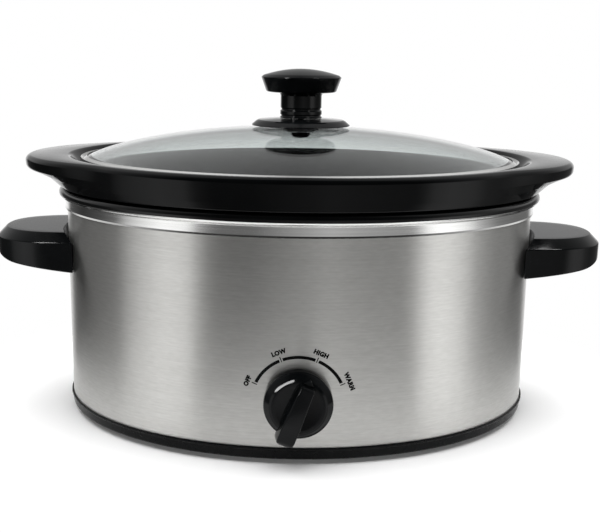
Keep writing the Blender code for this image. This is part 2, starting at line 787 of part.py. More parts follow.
def build_inlet():
    """The cord inlet: a domed gland through the wrap, its nut inside, and the terminal block."""
    bore = INLET_BORE
    gland = turned(
        "cord_gland",
        [
            (bore + 1.0, INLET_REACH),
            (7.4, INLET_REACH - 0.4),
            (9.2, INLET_REACH - 2.6),
            (9.8, GAP + 0.2),
            (6.0, GAP + 0.2),
            (6.0, -7.0),
            (bore, -7.0),
            (bore, INLET_REACH - 1.0),
        ],
        BLACK_PLASTIC,
        ring=True,
    )
    gland.rotation_euler = (math.radians(-90), 0.0, 0.0)
    gland.location = (0.0, HALF_WIDTH * MM, INLET_HEIGHT * MM)
    nut = plate("gland_nut", [circle(10.2, 6), circle(6.5, 14)], 3.6, BLACK_PLASTIC)
    nut.rotation_euler = (math.radians(90), 0.0, 0.0)
    nut.location = (0.0, (HALF_WIDTH - 3.4) * MM, INLET_HEIGHT * MM)
    low, high = (-14, BLOCK_FRONT, FLOOR_TOP + GAP), (14, BLOCK_FRONT + 14, 19)
    block("terminal_block", low, high, SWITCH_RESIN, rounding=0.8)


def build_leads():
    """Sleeved wires in the space between the base and the well."""
    blade_tip = DIAL_HEIGHT - SWITCH_HALF_HEIGHT - BLADE_DROP - GAP - 1.2
    blade_y = SWITCH_FRONT + BLADE_SETBACK
    block_face = BLOCK_FRONT - GAP
    terminal_end = TERMINAL_TIP - GAP
    side_x = HALF_LENGTH - 12.8
    lead(
        "lead_live",
        [
            (-8, block_face, 14),
            (-12, 66, 13),
            (-26, 30, 12),
            (-26, -30, 12),
            (-12, -80, 12),
            (0, blade_y + 6, 12),
            (0, blade_y, blade_tip),
        ],
    )
    for name, side in (("lead_low", -1), ("lead_high", 1)):
        x = side * 7.0
        lead(
            name,
            [
                (x, blade_y, blade_tip),
                (x * 1.3, blade_y + 5, 11.6),
                (side * 34, -86, 12),
                (side * 88, -48, 13),
                (side * 122, -14, 17),
                (side * (side_x - 6), -4, 26),
                (side * side_x, 0, 36),
                (side * side_x, 0, terminal_end),
            ],
        )
    lead(
        "lead_neutral",
        [
            (4, block_face, 14),
            (8, 64, 12),
            (30, 46, 12),
            (54, 43, 16),
            (62, 36, 21),
            (57, FUSE_Y, FUSE_HEIGHT),
            (FUSE_END + GAP, FUSE_Y, FUSE_HEIGHT),
        ],
    )
    band_face = well_offset(BAND_BOTTOM) + WELL_WALL + GAP + BAND_WALL
    rear = oval(band_face + TERMINAL_STANDOFF, 0.0, 1, REAR_TERMINAL_ANGLE, 1.0)[0]
    lead(
        "lead_fuse",
        [
            (FUSE_START - GAP, FUSE_Y, FUSE_HEIGHT),
            (30, 31, 21.6),
            (23, 42, 21),
            (22, 60, 20.5),
            (28, 86, 19),
            (rear.x - 1.5, rear.y - 8, 21),
            (rear.x - 0.5, rear.y - 1, 30),
            (rear.x, rear.y, 40),
            (rear.x, rear.y, terminal_end),
        ],
    )


def grip_share(angle):
    """How much of the grip's shape the crock's rim has at an angle: 1 at each end, 0 along the sides."""
    from_end = abs(math.degrees(math.asin(math.sin(angle))))
    if from_end >= GRIP_SPREAD:
        return 0.0
    return 0.5 * (1 + math.cos(math.pi * (from_end / GRIP_SPREAD) ** 1.3))


def rim_ring(plain, grip):
    """A ring that blends the plain rim's point into the grip's point round the oval."""
    points = []
    for step in range(OVAL_SEGMENTS):
        share = grip_share(2 * math.pi * step / OVAL_SEGMENTS)
        offset = plain[0] + (grip[0] - plain[0]) * share
        height = plain[1] + (grip[1] - plain[1]) * share
        points.append(oval(offset, height)[step])
    return points


def build_crock():
    """The stoneware pot: tapered wall, seat for the lid, deep rim band, and a grip at each end."""
    band = 4.8
    tip = band + GRIP_REACH
    inside = [
        (-44.0, CROCK_FLOOR),
        (-38.0, CROCK_FLOOR + 0.4),
        (-32.6, CROCK_FLOOR + 4.0),
        (-30.6, CROCK_FLOOR + 11.0),
        (-21.0, 154.0),
        (-19.0, 158.4),
        (-17.0, 159.8),
        (-8.0, 160.2),
        (-5.6, 161.6),
        (-3.2, 164.2),
    ]
    rim = [
        ((-1.4, 165.3), (-1.4, 165.3)),
        ((1.2, CROCK_TOP), (8.0, CROCK_TOP)),
        ((3.4, CROCK_TOP - 0.8), (tip - 4.0, CROCK_TOP - 0.3)),
        ((4.7, CROCK_TOP - 3.0), (tip - 0.5, CROCK_TOP - 2.6)),
        ((5.0, 159.0), (tip, CROCK_TOP - 6.0)),
        ((5.0, 156.0), (tip - 2.4, CROCK_TOP - 9.4)),
        ((4.9, 153.4), (tip - 8.0, CROCK_TOP - 10.6)),
        ((4.7, 151.0), (10.6, 152.8)),
        ((4.4, 148.8), (6.0, 149.6)),
        ((3.4, 147.3), (3.8, 147.4)),
    ]
    outside = [
        (1.4, RIM_TOP + GAP),
        (-1.6, RIM_TOP + GAP),
        (-6.4, 144.4),
        (-10.4, 138.0),
        (-22.6, 42.0),
        (-25.4, 34.0),
        (-31.0, CROCK_BOTTOM),
        (-36.0, CROCK_BOTTOM),
    ]
    rings = [oval(offset, height) for offset, height in inside]
    rings += [rim_ring(plain, grip) for plain, grip in rim]
    rings += [oval(offset, height) for offset, height in outside]
    place("crock", loft(rings, caps=True), BLACK_GLAZE)


def dome_height(share):
    """The height of the glass's top face at a share of the way from the centre to its edge."""
    return GLASS_EDGE + GLASS_RISE * (1 - share**2) ** 0.75


def dome_ring(share, height):
    """A ring of the lid's plan at a share of the way from its centre to the glass edge."""
    points = []
    for step in range(OVAL_SEGMENTS):
        angle = 2 * math.pi * step / OVAL_SEGMENTS
        x = GLASS_HALF_LENGTH * share * math.cos(angle)
        y = GLASS_HALF_WIDTH * share * math.sin(angle)
        points.append(Vector((x, y, height)))
    return points


def hole_ring(height):
    """The rim of the glass's screw hole at one height."""
    return [Vector((x, y, height)) for x, y in circle(LID_SCREW_HOLE, OVAL_SEGMENTS)]


def build_lid_glass():
    """The tempered dome, with a hole for the knob's screw."""
    shares = [0.15, 0.35, 0.55, 0.72, 0.86, 0.955]
    top = [dome_ring(share, dome_height(share)) for share in shares]
    under = [dome_ring(share * 0.99, dome_height(share) - GLASS_WALL) for share in reversed(shares)]
    crown = dome_height(0.0)
    edge = [
        dome_ring(0.985, dome_height(0.985)),
        dome_ring(1.0, GLASS_EDGE),
        dome_ring(0.998, GLASS_EDGE - 1.0),
        dome_ring(0.985, GLASS_EDGE - 1.2),
    ]
    rings = [hole_ring(crown), *top, *edge, *under, hole_ring(crown - GLASS_WALL)]
    place("lid_glass", loft(rings, back_to_start=True), CLEAR_GLASS)


def build_lid_band():
    """The steel band folded round the glass edge."""
    wall = 0.5
    outer = 1.0 + 0.9 / GLASS_HALF_LENGTH
    bottom = GLASS_EDGE - 1.2 - GAP
    lip = 0.978
    section = [
        (lip, dome_height(lip) + GAP + wall),
        (0.992, dome_height(0.992) + GAP + wall),
        (outer + 0.001, GLASS_EDGE + 1.6),
        (outer + 0.0025, GLASS_EDGE + 0.4),
        (outer + 0.0025, bottom - wall + 0.3),
        (outer, bottom - wall),
        (0.965, bottom - wall),
        (0.965, bottom),
        (outer - 0.003, bottom),
        (outer - 0.002, GLASS_EDGE + 0.5),
        (0.993, dome_height(0.993) + GAP),
        (lip, dome_height(lip) + GAP),
    ]
    rings = [dome_ring(share, height) for share, height in section]
    place("lid_band", loft(rings, back_to_start=True), STEEL_RIM)


def build_lid_knob():
    """The turned knob, its collar and gasket above the glass, and the washer and screw below."""
    crown = dome_height(0.0)
    bore = 2.5
    turned(
        "lid_knob",
        [
            (0.0, 221.0),
            (8.0, 220.6),
            (16.0, 219.2),
            (22.0, 217.4),
            (25.6, 215.9),
            (26.0, 215.3),
            (24.4, 211.0),
            (22.4, 206.6),
            (21.4, 205.7),
            (14.0, 205.3),
            (13.4, 204.4),
            (13.4, 195.2),
            (13.0, 194.8),
            (13.0, 194.2),
            (13.4, 193.8),
            (13.4, KNOB_SEAT + GAP),
            (bore, KNOB_SEAT + GAP),
            (bore, 205.0),
            (0.0, 205.0),
        ],
        BLACK_PLASTIC,
        segments=FINE_SEGMENTS,
    )
    turned(
        "knob_collar",
        [
            (bore, KNOB_SEAT),
            (14.6, KNOB_SEAT),
            (27.6, 188.6),
            (28.8, 188.0),
            (32.0, 185.2),
            (31.6, 184.9),
            (26.0, 185.8),
            (11.8, 185.8),
            (11.8, 186.4),
            (bore, 186.4),
        ],
        BLACK_PLASTIC,
        segments=FINE_SEGMENTS,
        ring=True,
    )
    gasket_low = crown + GAP
    turned(
        "knob_gasket",
        [(11.4, 186.1), (11.4, gasket_low), (bore, gasket_low), (bore, 186.1)],
        SILICONE,
        ring=True,
    )
    under = crown - GLASS_WALL - GAP
    washer_low = under - 1.0
    turned(
        "knob_washer",
        [(9.0, under), (9.0, washer_low), (bore, washer_low), (bore, under)],
        STEEL_PLATED,
        ring=True,
    )
    head = washer_low - GAP
    turned(
        "knob_screw",
        [
            (0.0, 203.0),
            (2.1, 202.0),
            (2.1, head),
            (6.2, head),
            (6.0, head - 1.4),
            (4.4, head - 2.8),
            (0.0, head - 3.4),
        ],
        BLACK_PLASTIC,
    )


def build_all():
    build_base()
    build_wrap()
    build_liner()
    build_heater()
    build_tie()
    build_switch()
    build_control_knob()
    build_handles()
    build_inlet()
    build_leads()
    build_crock()
    build_lid_glass()
    build_lid_band()
    build_lid_knob()


build_all()
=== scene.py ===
"""Looks of an oval slow cooker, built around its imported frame.

The frame gives every place: the front faces -Y, X is the long axis, +Z is up and the feet stand on
Z = 0. Sizes in this file are millimetres and degrees, and MM turns millimetres into metres.
"""

import json
import logging
import math
from dataclasses import dataclass
from enum import Enum
from typing import Callable, Iterable, Mapping, Sequence

import bmesh
import bpy
from mathutils import Matrix, Vector


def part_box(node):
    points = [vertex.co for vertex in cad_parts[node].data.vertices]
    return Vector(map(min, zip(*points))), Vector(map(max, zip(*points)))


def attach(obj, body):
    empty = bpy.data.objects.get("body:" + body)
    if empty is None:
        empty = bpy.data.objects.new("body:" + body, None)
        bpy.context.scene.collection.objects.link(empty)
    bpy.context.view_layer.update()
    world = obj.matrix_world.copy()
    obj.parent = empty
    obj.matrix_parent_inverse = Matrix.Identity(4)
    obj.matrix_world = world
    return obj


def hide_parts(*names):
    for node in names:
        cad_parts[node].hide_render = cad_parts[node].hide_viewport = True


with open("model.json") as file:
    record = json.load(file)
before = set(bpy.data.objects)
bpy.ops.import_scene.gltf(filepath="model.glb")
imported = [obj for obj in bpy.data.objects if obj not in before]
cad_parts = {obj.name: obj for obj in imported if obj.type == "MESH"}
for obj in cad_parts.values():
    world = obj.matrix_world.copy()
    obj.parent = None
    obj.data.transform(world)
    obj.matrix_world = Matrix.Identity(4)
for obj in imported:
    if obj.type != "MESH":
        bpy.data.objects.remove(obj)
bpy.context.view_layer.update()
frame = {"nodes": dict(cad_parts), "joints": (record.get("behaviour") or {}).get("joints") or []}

LOG = logging.getLogger("slow_cooker")
MM = 0.001

OVAL_STEPS = 256
TURN_STEPS = 96
ARC_STEPS = 6

Point = tuple[float, float]
Size = tuple[float, float, float]
Colour = tuple[float, float, float]
Grain = tuple[float, float]
Ring = list[Vector]
Mesh = bpy.types.Mesh
Socket = bpy.types.NodeSocket


class Body(Enum):
    """The bodies of the frame that pieces ride on."""

    BASE = "base"
    DIAL = "dial"
    CROCK = "crock"
    LID = "lid"


class Slot(Enum):
    """The record's material slots."""

    WRAP = "brushed_wrap"
    RIM = "polished_rim"
    PLASTIC = "black_plastic"
    GLAZE = "black_glaze"
    GLASS = "clear_glass"


class Side(Enum):
    """The two ends of the oval, by the sign of their X."""

    LEFT = -1
    RIGHT = 1


# ---------------------------------------------------------------------------- measures


def node_box(node: str) -> tuple[Vector, Vector]:
    """Gives the lowest and highest corners of a frame node, in millimetres."""
    low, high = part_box(node)
    return low / MM, high / MM


def node_middle(node: str) -> Vector:
    """Gives the middle of a frame node's box, in millimetres."""
    low, high = node_box(node)
    return (low + high) / 2


def full_turn(steps: int) -> list[float]:
    """Gives the angles of a full turn in equal steps, in radians."""
    return [2 * math.pi * i / steps for i in range(steps)]


@dataclass(frozen=True)
class Oval:
    """The plan of the body: the outer face of the steel wrap."""

    half_length: float
    half_width: float
    centre_y: float

    @classmethod
    def of_wrap(cls) -> "Oval":
        """Reads the oval from the wrap of the frame."""
        low, high = node_box("outer_shell")
        return cls((high.x - low.x) / 2, (high.y - low.y) / 2, (high.y + low.y) / 2)

    def at(self, angle: float, offset: float, height: float) -> Vector:
        """Finds a point outside or inside the oval.

        Args:
            angle: the oval's own angle, in radians from +X.
            offset: the distance outwards from the oval.
            height: the height above the worktop.

        Returns:
            The point in the frame.
        """
        run, rise = self.half_width * math.cos(angle), self.half_length * math.sin(angle)
        length = math.hypot(run, rise)
        x = self.half_length * math.cos(angle) + offset * run / length
        y = self.half_width * math.sin(angle) + offset * rise / length
        return Vector((x, y + self.centre_y, height))

    def ring(self, offset: float, height: float) -> Ring:
        """Gives the whole line that runs at one offset and height."""
        return [self.at(angle, offset, height) for angle in full_turn(OVAL_STEPS)]

    def front_y(self, x: float, offset: float = 0.0) -> float:
        """Gives the Y of the front face, moved out by an offset, at one X."""
        reach = math.sqrt(1 - (x / (self.half_length + offset)) ** 2)
        return self.centre_y - (self.half_width + offset) * reach

    def side_x(self, y: float, offset: float = 0.0) -> float:
        """Gives the X of the right-hand face, moved out by an offset, at one Y from the centre."""
        return math.sqrt(1 - (y / (self.half_width + offset)) ** 2) * (self.half_length + offset)

    def scaled_ring(self, share: float, inset: float, height: float) -> Ring:
        """Gives a ring of the lid's plan.

        Args:
            share: the share of the way from the centre to the edge.
            inset: how far the edge lies inside the oval.
            height: the height above the worktop.

        Returns:
            The ring's points.
        """
        length, width = (self.half_length - inset) * share, (self.half_width - inset) * share
        return [
            Vector((length * math.cos(angle), width * math.sin(angle) + self.centre_y, height))
            for angle in full_turn(OVAL_STEPS)
        ]


OVAL = Oval.of_wrap()


def rounded(corners: Sequence[Sequence[float]], closed: bool = False) -> list[Point]:
    """Turns corners into a profile whose corners are arcs.

    Args:
        corners: for each corner in order, how far across it is, its height, and its radius if it
            is rounded. An end corner of an open profile keeps its point.
        closed: whether the last corner joins the first.

    Returns:
        The profile's points. A rounded corner always gives the same count of points.
    """
    points: list[Point] = []
    count = len(corners)
    places = [Vector(corner[:2]) for corner in corners]
    for i, here in enumerate(places):
        is_end = not closed and i in (0, count - 1)
        if is_end or len(corners[i]) == 2:
            points.append((here.x, here.y))
            continue
        back, ahead = places[i - 1] - here, places[(i + 1) % count] - here
        half = back.angle(ahead) / 2
        reach = min(corners[i][2] / math.tan(half), 0.49 * back.length, 0.49 * ahead.length)
        start, end = here + back.normalized() * reach, here + ahead.normalized() * reach
        weight = math.cos(half - math.pi / 2)
        for step in range(ARC_STEPS + 1):
            t = step / ARC_STEPS
            low, middle, high = (1 - t) ** 2, 2 * t * (1 - t) * weight, t**2
            point = (start * low + here * middle + end * high) / (low + middle + high)
            points.append((point.x, point.y))
    return points


def blended(first: Sequence[Point], second: Sequence[Point], share: float) -> list[Point]:
    """Mixes two profiles of equal count, point by point."""
    pairs = zip(first, second, strict=True)
    return [(a[0] + (b[0] - a[0]) * share, a[1] + (b[1] - a[1]) * share) for a, b in pairs]


# ---------------------------------------------------------------------------- meshes


def neighbours(rows: Sequence[list], back_to_start: bool) -> list[tuple[list, list]]:
    """Pairs each row with the next one, and the last with the first if it is asked for."""
    pairs = list(zip(rows, rows[1:]))
    return [*pairs, (rows[-1], rows[0])] if back_to_start else pairs


def as_mesh(bm: bmesh.types.BMesh) -> Mesh:
    """Turns the faces outwards and makes the mesh.

    Args:
        bm: the geometry, which is freed.

    Returns:
        The mesh.
    """
    bmesh.ops.recalc_face_normals(bm, faces=bm.faces)
    mesh = bpy.data.meshes.new("shape")
    bm.to_mesh(mesh)
    bm.free()
    return mesh


def lofted(
    rings: Sequence[Ring],
    round_rings: bool = True,
    back_to_start: bool = False,
    caps: bool = False,
) -> Mesh:
    """Joins rings of equal count with quads.

    Args:
        rings: the rings in order, in millimetres.
        round_rings: whether each ring closes on itself.
        back_to_start: whether the last ring joins the first.
        caps: whether the first and last rings are filled.

    Returns:
        A mesh in metres whose faces point outwards.
    """
    bm = bmesh.new()
    rows = [[bm.verts.new(point * MM) for point in ring] for ring in rings]
    for low, high in neighbours(rows, back_to_start):
        count = len(low)
        for i in range(count if round_rings else count - 1):
            j = (i + 1) % count
            bm.faces.new((low[i], low[j], high[j], high[i]))
    if caps:
        bm.faces.new(rows[0])
        bm.faces.new(rows[-1])
    return as_mesh(bm)


def swept(profile: Sequence[Point], closed: bool = True) -> Mesh:
    """Sweeps a profile of offsets and heights round the oval: a ring if closed, else capped."""
    rings = [OVAL.ring(offset, height) for offset, height in profile]
    return lofted(rings, back_to_start=closed, caps=not closed)


def turned(profile: Sequence[Point], place: Matrix, ring: bool = False) -> Mesh:
    """Turns a profile of radii and heights about an axis.

    Args:
        profile: the points, from one end of the axis to the other, or round a ring's section.
        place: where the axis stands, in millimetres.
        ring: whether the section is closed and clear of the axis.

    Returns:
        The mesh. A point on the axis becomes the middle of a fan.
    """
    bm = bmesh.new()
    rows = []
    for radius, height in profile:
        angles = full_turn(TURN_STEPS) if radius else [0.0]
        points = [Vector((radius * math.cos(a), radius * math.sin(a), height)) for a in angles]
        rows.append([bm.verts.new(place @ point * MM) for point in points])
    for low, high in neighbours(rows, ring):
        for i in range(TURN_STEPS):
            j = (i + 1) % TURN_STEPS
            corners = [low[i % len(low)], low[j % len(low)], high[j % len(high)], high[i % len(high)]]
            bm.faces.new(list(dict.fromkeys(corners)))
    return as_mesh(bm)


def upright() -> Matrix:
    """Gives the upright axis in the middle of the oval."""
    return Matrix.Translation((0.0, OVAL.centre_y, 0.0))


def rod(start: Vector, end: Vector, radius: float) -> Mesh:
    """Makes a plain round tool between two points, to bore or to join with.

    Args:
        start: the middle of one end.
        end: the middle of the other end.
        radius: its radius.

    Returns:
        The tool's closed mesh.
    """
    run = end - start
    place = Matrix.Translation(start) @ run.to_track_quat("Z", "Y").to_matrix().to_4x4()
    return turned([(0.0, 0.0), (radius, 0.0), (radius, run.length), (0.0, run.length)], place)


def through(middle: Vector, half: Vector, radius: float) -> Mesh:
    """Makes a round tool that reaches as far on both sides of a point."""
    return rod(middle - half, middle + half, radius)


def shaped(mesh: Mesh, bores: Sequence[Mesh] = (), bosses: Sequence[Mesh] = ()) -> Mesh:
    """Joins bosses to a solid, then bores it.

    Args:
        mesh: the solid.
        bores: what to take away.
        bosses: what to add first.

    Returns:
        The finished mesh.
    """
    scratch = bpy.data.objects.new("scratch", mesh)
    bpy.context.scene.collection.objects.link(scratch)
    tools = []
    for tool_mesh, operation in [(m, "UNION") for m in bosses] + [(m, "DIFFERENCE") for m in bores]:
        tool = bpy.data.objects.new("tool", tool_mesh)
        bpy.context.scene.collection.objects.link(tool)
        tools.append(tool)
        modifier = scratch.modifiers.new(operation.lower(), "BOOLEAN")
        modifier.operation = operation
        modifier.solver = "EXACT"
        modifier.object = tool
    graph = bpy.context.evaluated_depsgraph_get()
    made = bpy.data.meshes.new_from_object(scratch.evaluated_get(graph))
    for obj in [scratch, *tools]:
        bpy.data.objects.remove(obj)
    return made


# ---------------------------------------------------------------------------- finishes


class NodeSheet:
    """A node tree while it is put together."""

    def __init__(self, tree: bpy.types.NodeTree) -> None:
        """Takes the tree."""
        self.tree = tree

    def node(
        self,
        kind: str,
        feeds: Mapping[str | int, object] | None = None,
        **settings: object,
    ) -> bpy.types.Node:
        """Adds a node.

        Args:
            kind: the node's type, less the words that every shader node's type begins with.
            feeds: for each input, the socket that it takes, or its own value.
            settings: the node's own properties.

        Returns:
            The node.
        """
        node = self.tree.nodes.new(f"ShaderNode{kind}")
        for key, value in settings.items():
            setattr(node, key, value)
        for key, value in (feeds or {}).items():
            if isinstance(value, Socket):
                self.tree.links.new(value, node.inputs[key])
            else:
                node.inputs[key].default_value = value
        return node


class Surface(NodeSheet):
    """A material while it is put together."""

    def __init__(self, name: str) -> None:
        """Starts a material with its principled shader."""
        self.material = bpy.data.materials.new(name)
        self.material.use_nodes = True
        super().__init__(self.material.node_tree)
        self.shader = self.tree.nodes["Principled BSDF"]

    def set(self, **values: object) -> None:
        """Sets the shader's own values; an underscore in a name stands for a space."""
        for key, value in values.items():
            self.shader.inputs[key.replace("_", " ")].default_value = value

    def feed(self, **sources: Socket) -> None:
        """Joins sockets to the shader's inputs; an underscore in a name stands for a space."""
        for key, source in sources.items():
            self.tree.links.new(source, self.shader.inputs[key.replace("_", " ")])

    def place(self, scale: Size = (1.0, 1.0, 1.0)) -> Socket:
        """Gives the piece's own coordinates, stretched along each axis."""
        at = self.node("TexCoord").outputs["Object"]
        return self.node("Mapping", {"Vector": at, "Scale": scale}).outputs["Vector"]

    def noise(self, at: Socket, scale: float, detail: float) -> Socket:
        """Gives a noise pattern over coordinates."""
        return self.node("TexNoise", {"Vector": at, "Scale": scale, "Detail": detail}).outputs["Fac"]

    def streaks(self, length: float, width: float, detail: float) -> Socket:
        """Gives level streaks of a length and a width in millimetres."""
        along = 1 / (length * MM)
        return self.noise(self.place((along, along, 1 / (width * MM))), 1.0, detail)

    def ranged(self, pattern: Socket, low: float, high: float) -> Socket:
        """Brings the middle of a pattern to a range."""
        ends = {"From Min": 0.3, "From Max": 0.7, "To Min": low, "To Max": high}
        return self.node("MapRange", {"Value": pattern, **ends}).outputs["Result"]

    def mixed(self, pattern: Socket, low: Colour, high: Colour) -> Socket:
        """Blends between two colours by a pattern.

        Args:
            pattern: the pattern.
            low: the colour where it is low.
            high: the colour where it is high.

        Returns:
            The colour socket.
        """
        ramp = self.node("ValToRGB", {"Fac": pattern})
        for element, position, colour in zip(ramp.color_ramp.elements, (0.3, 0.7), (low, high)):
            element.position = position
            element.color = (*colour, 1.0)
        return ramp.outputs["Color"]

    def averaged(self, first: Socket, second: Socket) -> Socket:
        """Gives the mean of two patterns."""
        total = self.node("Math", {0: first, 1: second}, operation="ADD").outputs[0]
        return self.node("Math", {0: total, 1: 0.5}, operation="MULTIPLY").outputs[0]

    def bumped(self, pattern: Socket, depth: float, strength: float) -> None:
        """Raises the surface by a pattern, to a depth in millimetres, over what is raised already.

        Args:
            pattern: the pattern.
            depth: how deep the relief is.
            strength: how much of the relief shows.
        """
        earlier = self.shader.inputs["Normal"].links
        below = {"Normal": earlier[0].from_socket} if earlier else {}
        feeds = {"Height": pattern, "Distance": depth * MM, "Strength": strength, **below}
        self.feed(Normal=self.node("Bump", feeds).outputs["Normal"])


@dataclass(frozen=True)
class Finish:
    """A finish that is worked out once and shared by its pieces."""

    name: str

    def material(self) -> bpy.types.Material:
        """Gives the finish's material, and makes it the first time.

        Returns:
            The material.
        """
        found = bpy.data.materials.get(self.name)
        if found is None:
            surface = Surface(self.name)
            self.dress(surface)
            found = surface.material
        return found

    def dress(self, surface: Surface) -> None:
        """Puts the finish's nodes together."""
        raise NotImplementedError


@dataclass(frozen=True)
class Cloudy(Finish):
    """A finish with a cloudy colour, an uneven gloss and a fine relief. A grain is scale and detail."""

    dark: Colour
    light: Colour
    smoothest: float
    roughest: float
    clouds: Grain
    marks: Grain
    relief: Grain
    depth: float
    strength: float = 0.5
    stretch: float = 1.0

    def dress(self, surface: Surface) -> None:
        """Clouds the colour, marks the gloss and raises the relief.

        Args:
            surface: the surface whose nodes are made.
        """
        at = surface.place()
        clouds, marks = surface.noise(at, *self.clouds), surface.noise(at, *self.marks)
        surface.feed(
            Base_Color=surface.mixed(clouds, self.dark, self.light),
            Roughness=surface.ranged(marks, self.smoothest, self.roughest),
        )
        relief = surface.noise(surface.place((1.0, 1.0, self.stretch)), *self.relief)
        surface.bumped(relief, self.depth, self.strength)
        surface.set(**self.values())

    def values(self) -> dict[str, float]:
        """Gives the shader's other values."""
        return {}


@dataclass(frozen=True)
class GlossPlastic(Cloudy):
    """Black moulded plastic with a high gloss, a faint orange peel and fine handling marks."""

    dark: Colour = (0.0012, 0.0014, 0.0016)
    light: Colour = (0.0028, 0.0032, 0.0035)
    smoothest: float = 0.10
    roughest: float = 0.18
    clouds: Grain = (55.0, 5.0)
    marks: Grain = (130.0, 6.0)
    relief: Grain = (420.0, 2.0)
    depth: float = 0.006
    shine: float = 0.17

    def values(self) -> dict[str, float]:
        """Gives how strongly the gloss shines."""
        return {"IOR": 1.5, "Specular_IOR_Level": self.shine}


@dataclass(frozen=True)
class StonewareGlaze(Cloudy):
    """Thick black glaze over stoneware, glossy and in soft ripples."""

    dark: Colour = (0.0010, 0.0012, 0.0014)
    light: Colour = (0.0024, 0.0028, 0.0030)
    smoothest: float = 0.06
    roughest: float = 0.13
    clouds: Grain = (30.0, 6.0)
    marks: Grain = (90.0, 5.0)
    relief: Grain = (38.0, 2.0)
    depth: float = 0.05
    strength: float = 0.4
    stretch: float = 1.6
    shine: float = 0.16

    def values(self) -> dict[str, float]:
        """Gives how strongly the glaze shines."""
        return {"IOR": 1.5, "Specular_IOR_Level": self.shine}


@dataclass(frozen=True)
class ClearGlass(Cloudy):
    """Tempered glass with a green-grey cast, slight waves and a trace of smudges."""

    dark: Colour = (0.935, 0.985, 0.976)
    light: Colour = (0.962, 0.995, 0.990)
    smoothest: float = 0.0
    roughest: float = 0.02
    clouds: Grain = (14.0, 3.0)
    marks: Grain = (26.0, 6.0)
    relief: Grain = (16.0, 1.0)
    depth: float = 0.012

    def values(self) -> dict[str, float]:
        """Lets light through."""
        return {"Transmission_Weight": 1.0, "IOR": 1.5}


@dataclass(frozen=True)
class Rubber(Cloudy):
    """Matt rubber or silicone with a fine tooth and paler scuffs."""

    dark: Colour = (0.014, 0.014, 0.015)
    light: Colour = (0.032, 0.032, 0.033)
    smoothest: float = 0.55
    roughest: float = 0.8
    clouds: Grain = (90.0, 6.0)
    marks: Grain = (200.0, 4.0)
    relief: Grain = (1500.0, 2.0)
    depth: float = 0.05
    strength: float = 0.6


@dataclass(frozen=True)
class MouldedResin(Cloudy):
    """Pale filled resin, with specks of its filler."""

    dark: Colour = (0.52, 0.47, 0.37)
    light: Colour = (0.74, 0.70, 0.60)
    smoothest: float = 0.42
    roughest: float = 0.62
    clouds: Grain = (500.0, 6.0)
    marks: Grain = (120.0, 3.0)
    relief: Grain = (800.0, 3.0)
    depth: float = 0.03


@dataclass(frozen=True)
class PrintedInk(Cloudy):
    """Black ink printed on the steel, a little thin in places."""

    dark: Colour = (0.002, 0.002, 0.002)
    light: Colour = (0.006, 0.006, 0.006)
    smoothest: float = 0.45
    roughest: float = 0.6
    clouds: Grain = (700.0, 4.0)
    marks: Grain = (700.0, 4.0)
    relief: Grain = (700.0, 4.0)
    depth: float = 0.004
    strength: float = 0.4

    def values(self) -> dict[str, float]:
        """Gives the ink hardly any shine."""
        return {"Specular_IOR_Level": 0.05}


@dataclass(frozen=True)
class BrushedSteel(Finish):
    """Sheet steel brushed along the oval, so that a light spreads up and down it."""

    dark: Colour = (0.535, 0.531, 0.512)
    light: Colour = (0.650, 0.646, 0.626)
    grain_length: float = 70.0
    grain_width: float = 0.9
    fine_width: float = 0.28
    smoothest: float = 0.29
    roughest: float = 0.33
    grain_depth: float = 0.0015
    flicker_length: float = 6.0
    flicker_width: float = 1.1
    flicker_depth: float = 0.03

    def dress(self, surface: Surface) -> None:
        """Draws long fine grain and short flickers, in colour, roughness and height.

        Args:
            surface: the surface whose nodes are made.
        """
        coarse = surface.streaks(self.grain_length, self.grain_width, 3.0)
        fine = surface.streaks(self.grain_length, self.fine_width, 2.0)
        flicker = surface.streaks(self.flicker_length, self.flicker_width, 3.0)
        grain = surface.averaged(coarse, fine)
        surface.bumped(grain, self.grain_depth, 0.5)
        surface.bumped(flicker, self.flicker_depth, 0.6)
        surface.feed(
            Base_Color=surface.mixed(surface.averaged(grain, flicker), self.dark, self.light),
            Roughness=surface.ranged(grain, self.roughest, self.smoothest),
            Tangent=surface.node("Tangent", direction_type="RADIAL", axis="Z").outputs["Tangent"],
        )
        surface.set(Metallic=1.0, Anisotropic=1.0, Anisotropic_Rotation=0.25)


@dataclass(frozen=True)
class PolishedSteel(Finish):
    """Bright rolled steel with faint polishing lines."""

    dark: Colour = (0.66, 0.66, 0.65)
    light: Colour = (0.74, 0.74, 0.73)
    line_length: float = 60.0
    line_width: float = 0.5
    smoothest: float = 0.10
    roughest: float = 0.19

    def dress(self, surface: Surface) -> None:
        """Draws the polishing lines in colour and roughness, and a slight unevenness.

        Args:
            surface: the surface whose nodes are made.
        """
        lines = surface.streaks(self.line_length, self.line_width, 2.0)
        surface.bumped(surface.noise(surface.place(), 60.0, 2.0), 0.03, 0.4)
        surface.feed(
            Base_Color=surface.mixed(lines, self.dark, self.light),
            Roughness=surface.ranged(lines, self.smoothest, self.roughest),
        )
        surface.set(Metallic=1.0)


